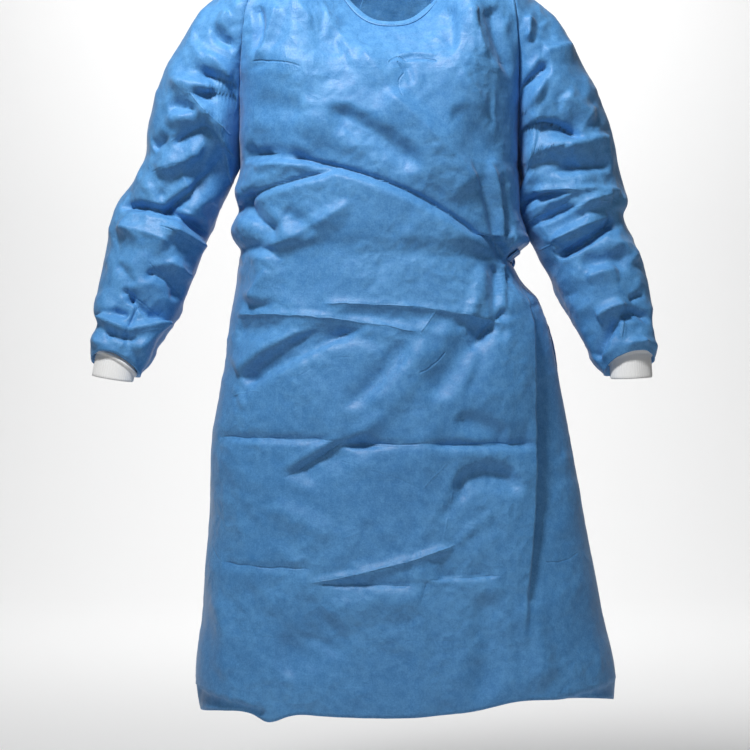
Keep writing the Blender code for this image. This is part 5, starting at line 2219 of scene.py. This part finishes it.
@dataclass
class Studio:
    """The camera, the lights and the pale floor."""

    camera_place: tuple[float, float, float] = (-0.0075, -3.0, -0.6375)
    lens: float = 96.0
    floor_height: float = -1.45

    def add_camera(self) -> None:
        """Puts the camera level with the gown's middle, square to its front."""
        data = bpy.data.cameras.new("camera")
        data.lens = self.lens
        camera = bpy.data.objects.new("camera", data)
        camera.location = self.camera_place
        camera.rotation_euler = (math.pi / 2, 0, 0)
        bpy.context.scene.collection.objects.link(camera)
        bpy.context.scene.camera = camera

    def add_light(
        self, name: str, place: Sequence[float], target: Sequence[float], size: float, power: float
    ) -> None:
        """Adds a square soft light that looks at a target.

        Args:
            name: the light's name.
            place: where it stands.
            target: what it looks at.
            size: its side.
            power: its power in watts.
        """
        data = bpy.data.lights.new(name, "AREA")
        data.energy, data.size = power, size
        light = bpy.data.objects.new(name, data)
        light.location = place
        look = Vector(target) - Vector(place)
        light.rotation_euler = look.to_track_quat("-Z", "Y").to_euler()
        bpy.context.scene.collection.objects.link(light)

    def add_floor(self) -> None:
        """A pale floor that curves up into a backdrop."""
        profile = [(-8.0, 0.0), (4.0, 0.0)]
        radius, steps = 1.5, 12
        for k in range(1, steps + 1):
            turn = k / steps * math.pi / 2
            rise = radius * (1 - math.cos(turn))
            profile.append((4.0 + radius * math.sin(turn), rise))
        profile.append((4.0 + radius, 7.0))
        half_width = 9.0
        verts, faces = [], []
        for y, z in profile:
            height = z + self.floor_height
            verts += [(-half_width, y, height), (half_width, y, height)]
        for k in range(len(profile) - 1):
            faces.append((2 * k, 2 * k + 1, 2 * k + 3, 2 * k + 2))
        mesh = bpy.data.meshes.new("floor")
        mesh.from_pydata(verts, [], faces)
        mesh.shade_smooth()
        tree = Tree("pale_floor")
        tree.finish({"Base Color": (0.9, 0.9, 0.9, 1), "Roughness": 0.9})
        add_object("floor", mesh, tree.material)

    def build(self) -> None:
        """Sets up the whole studio."""
        self.add_camera()
        self.add_floor()
        self.add_light("key", (-0.4, -1.0, 0.95), (0, 0, -0.12), 0.3, 35)
        self.add_light("fill", (0.4, -2.8, -0.3), (0, 0, -0.3), 1.6, 4.5)
        self.add_light("backdrop_light", (0, 2.6, 2.2), (0, 5.4, -0.6), 2.0, 130)
        world = bpy.data.worlds.new("studio")
        world.use_nodes = True
        background = world.node_tree.nodes["Background"]
        background.inputs["Color"].default_value = (1, 1, 1, 1)
        background.inputs["Strength"].default_value = 0.12
        bpy.context.scene.world = world
        bpy.context.scene.view_settings.view_transform = "Standard"


RIGHT_RINGS = (
    Ring(-250, -76, -219, -346, -2, 82),
    Ring(-286, -122, -222, -352, -2, 82),
    Ring(-312, -166, -227, -361, 0, 80),
    Ring(-334, -218, -232, -371, 3, 78),
    Ring(-348, -268, -238, -382, 5, 77),
    Ring(-352, -308, -243, -394, 7, 76),
    Ring(-368, -344, -249, -408, 8, 75),
    Ring(-394, -378, -257, -428, 9, 74),
    Ring(-405, -416, -266, -452, 8, 72),
    Ring(-413, -460, -276, -480, 3, 70),
    Ring(-421, -508, -287, -510, -8, 65),
    Ring(-425, -546, -303, -548, -20, 57),
    Ring(-418, -567, -316, -568, -28, 50),
    Ring(-424, -588, -331, -592, -37, 44),
    Ring(-428, -601, -340, -616, -43, 42),
    Ring(-427, -613, -351, -634, -48, 39),
)
LEFT_RINGS = (
    Ring(250, -92, 212, -348, -2, 82),
    Ring(278, -128, 208, -356, -2, 82),
    Ring(300, -168, 203, -366, 0, 81),
    Ring(325, -216, 203, -378, 3, 79),
    Ring(346, -268, 206, -392, 6, 78),
    Ring(358, -322, 214, -410, 8, 77),
    Ring(371, -376, 223, -430, 9, 76),
    Ring(365, -402, 233, -450, 7, 74),
    Ring(378, -432, 242, -470, 3, 72),
    Ring(392, -470, 256, -492, -4, 70),
    Ring(401, -510, 267, -514, -13, 65),
    Ring(404, -546, 282, -549, -23, 57),
    Ring(402, -576, 296, -578, -33, 49),
    Ring(405, -593, 308, -600, -40, 43),
    Ring(409, -602, 316, -619, -44, 42),
    Ring(406, -612, 328, -634, -48, 39),
)
RIGHT_CUFF = CuffAxis((-386.0, -47.0, -597.0), (-394.0, -56.0, -643.0), 0.38, 0.25, 0.07)
LEFT_CUFF = CuffAxis((368.0, -47.0, -596.0), (370.0, -56.0, -642.0), 0.26, 0.1, 0.14)


def main() -> None:
    """Builds the gown piece by piece in its studio."""
    logging.basicConfig(level=logging.INFO, format="%(name)s: %(message)s")
    Studio().build()
    finishes = Finishes.make()
    body = Body()
    panels = Panels(body, finishes)
    whole = panels.build()
    right_loop, left_loop = panels.armhole(whole, 0), panels.armhole(whole, -1)
    Sleeve("sleeve_right", RIGHT_RINGS, RIGHT_SLEEVE_DRAPES, RIGHT_CUFF, finishes).build(right_loop)
    Sleeve("sleeve_left", LEFT_RINGS, LEFT_SLEEVE_DRAPES, LEFT_CUFF, finishes).build(left_loop)
    Cuff("cuff_right", RIGHT_CUFF, finishes).build()
    Cuff("cuff_left", LEFT_CUFF, finishes).build()
    neck = NeckFinish(panels, whole)
    neck.build()
    WaistTie(body, finishes).build()
    stitching = Stitching(finishes)
    stitching.build("stitches_neck", [neck.line(0.9, 1.55)], "pale_blue_trim")


if __name__ == "__main__":
    main()
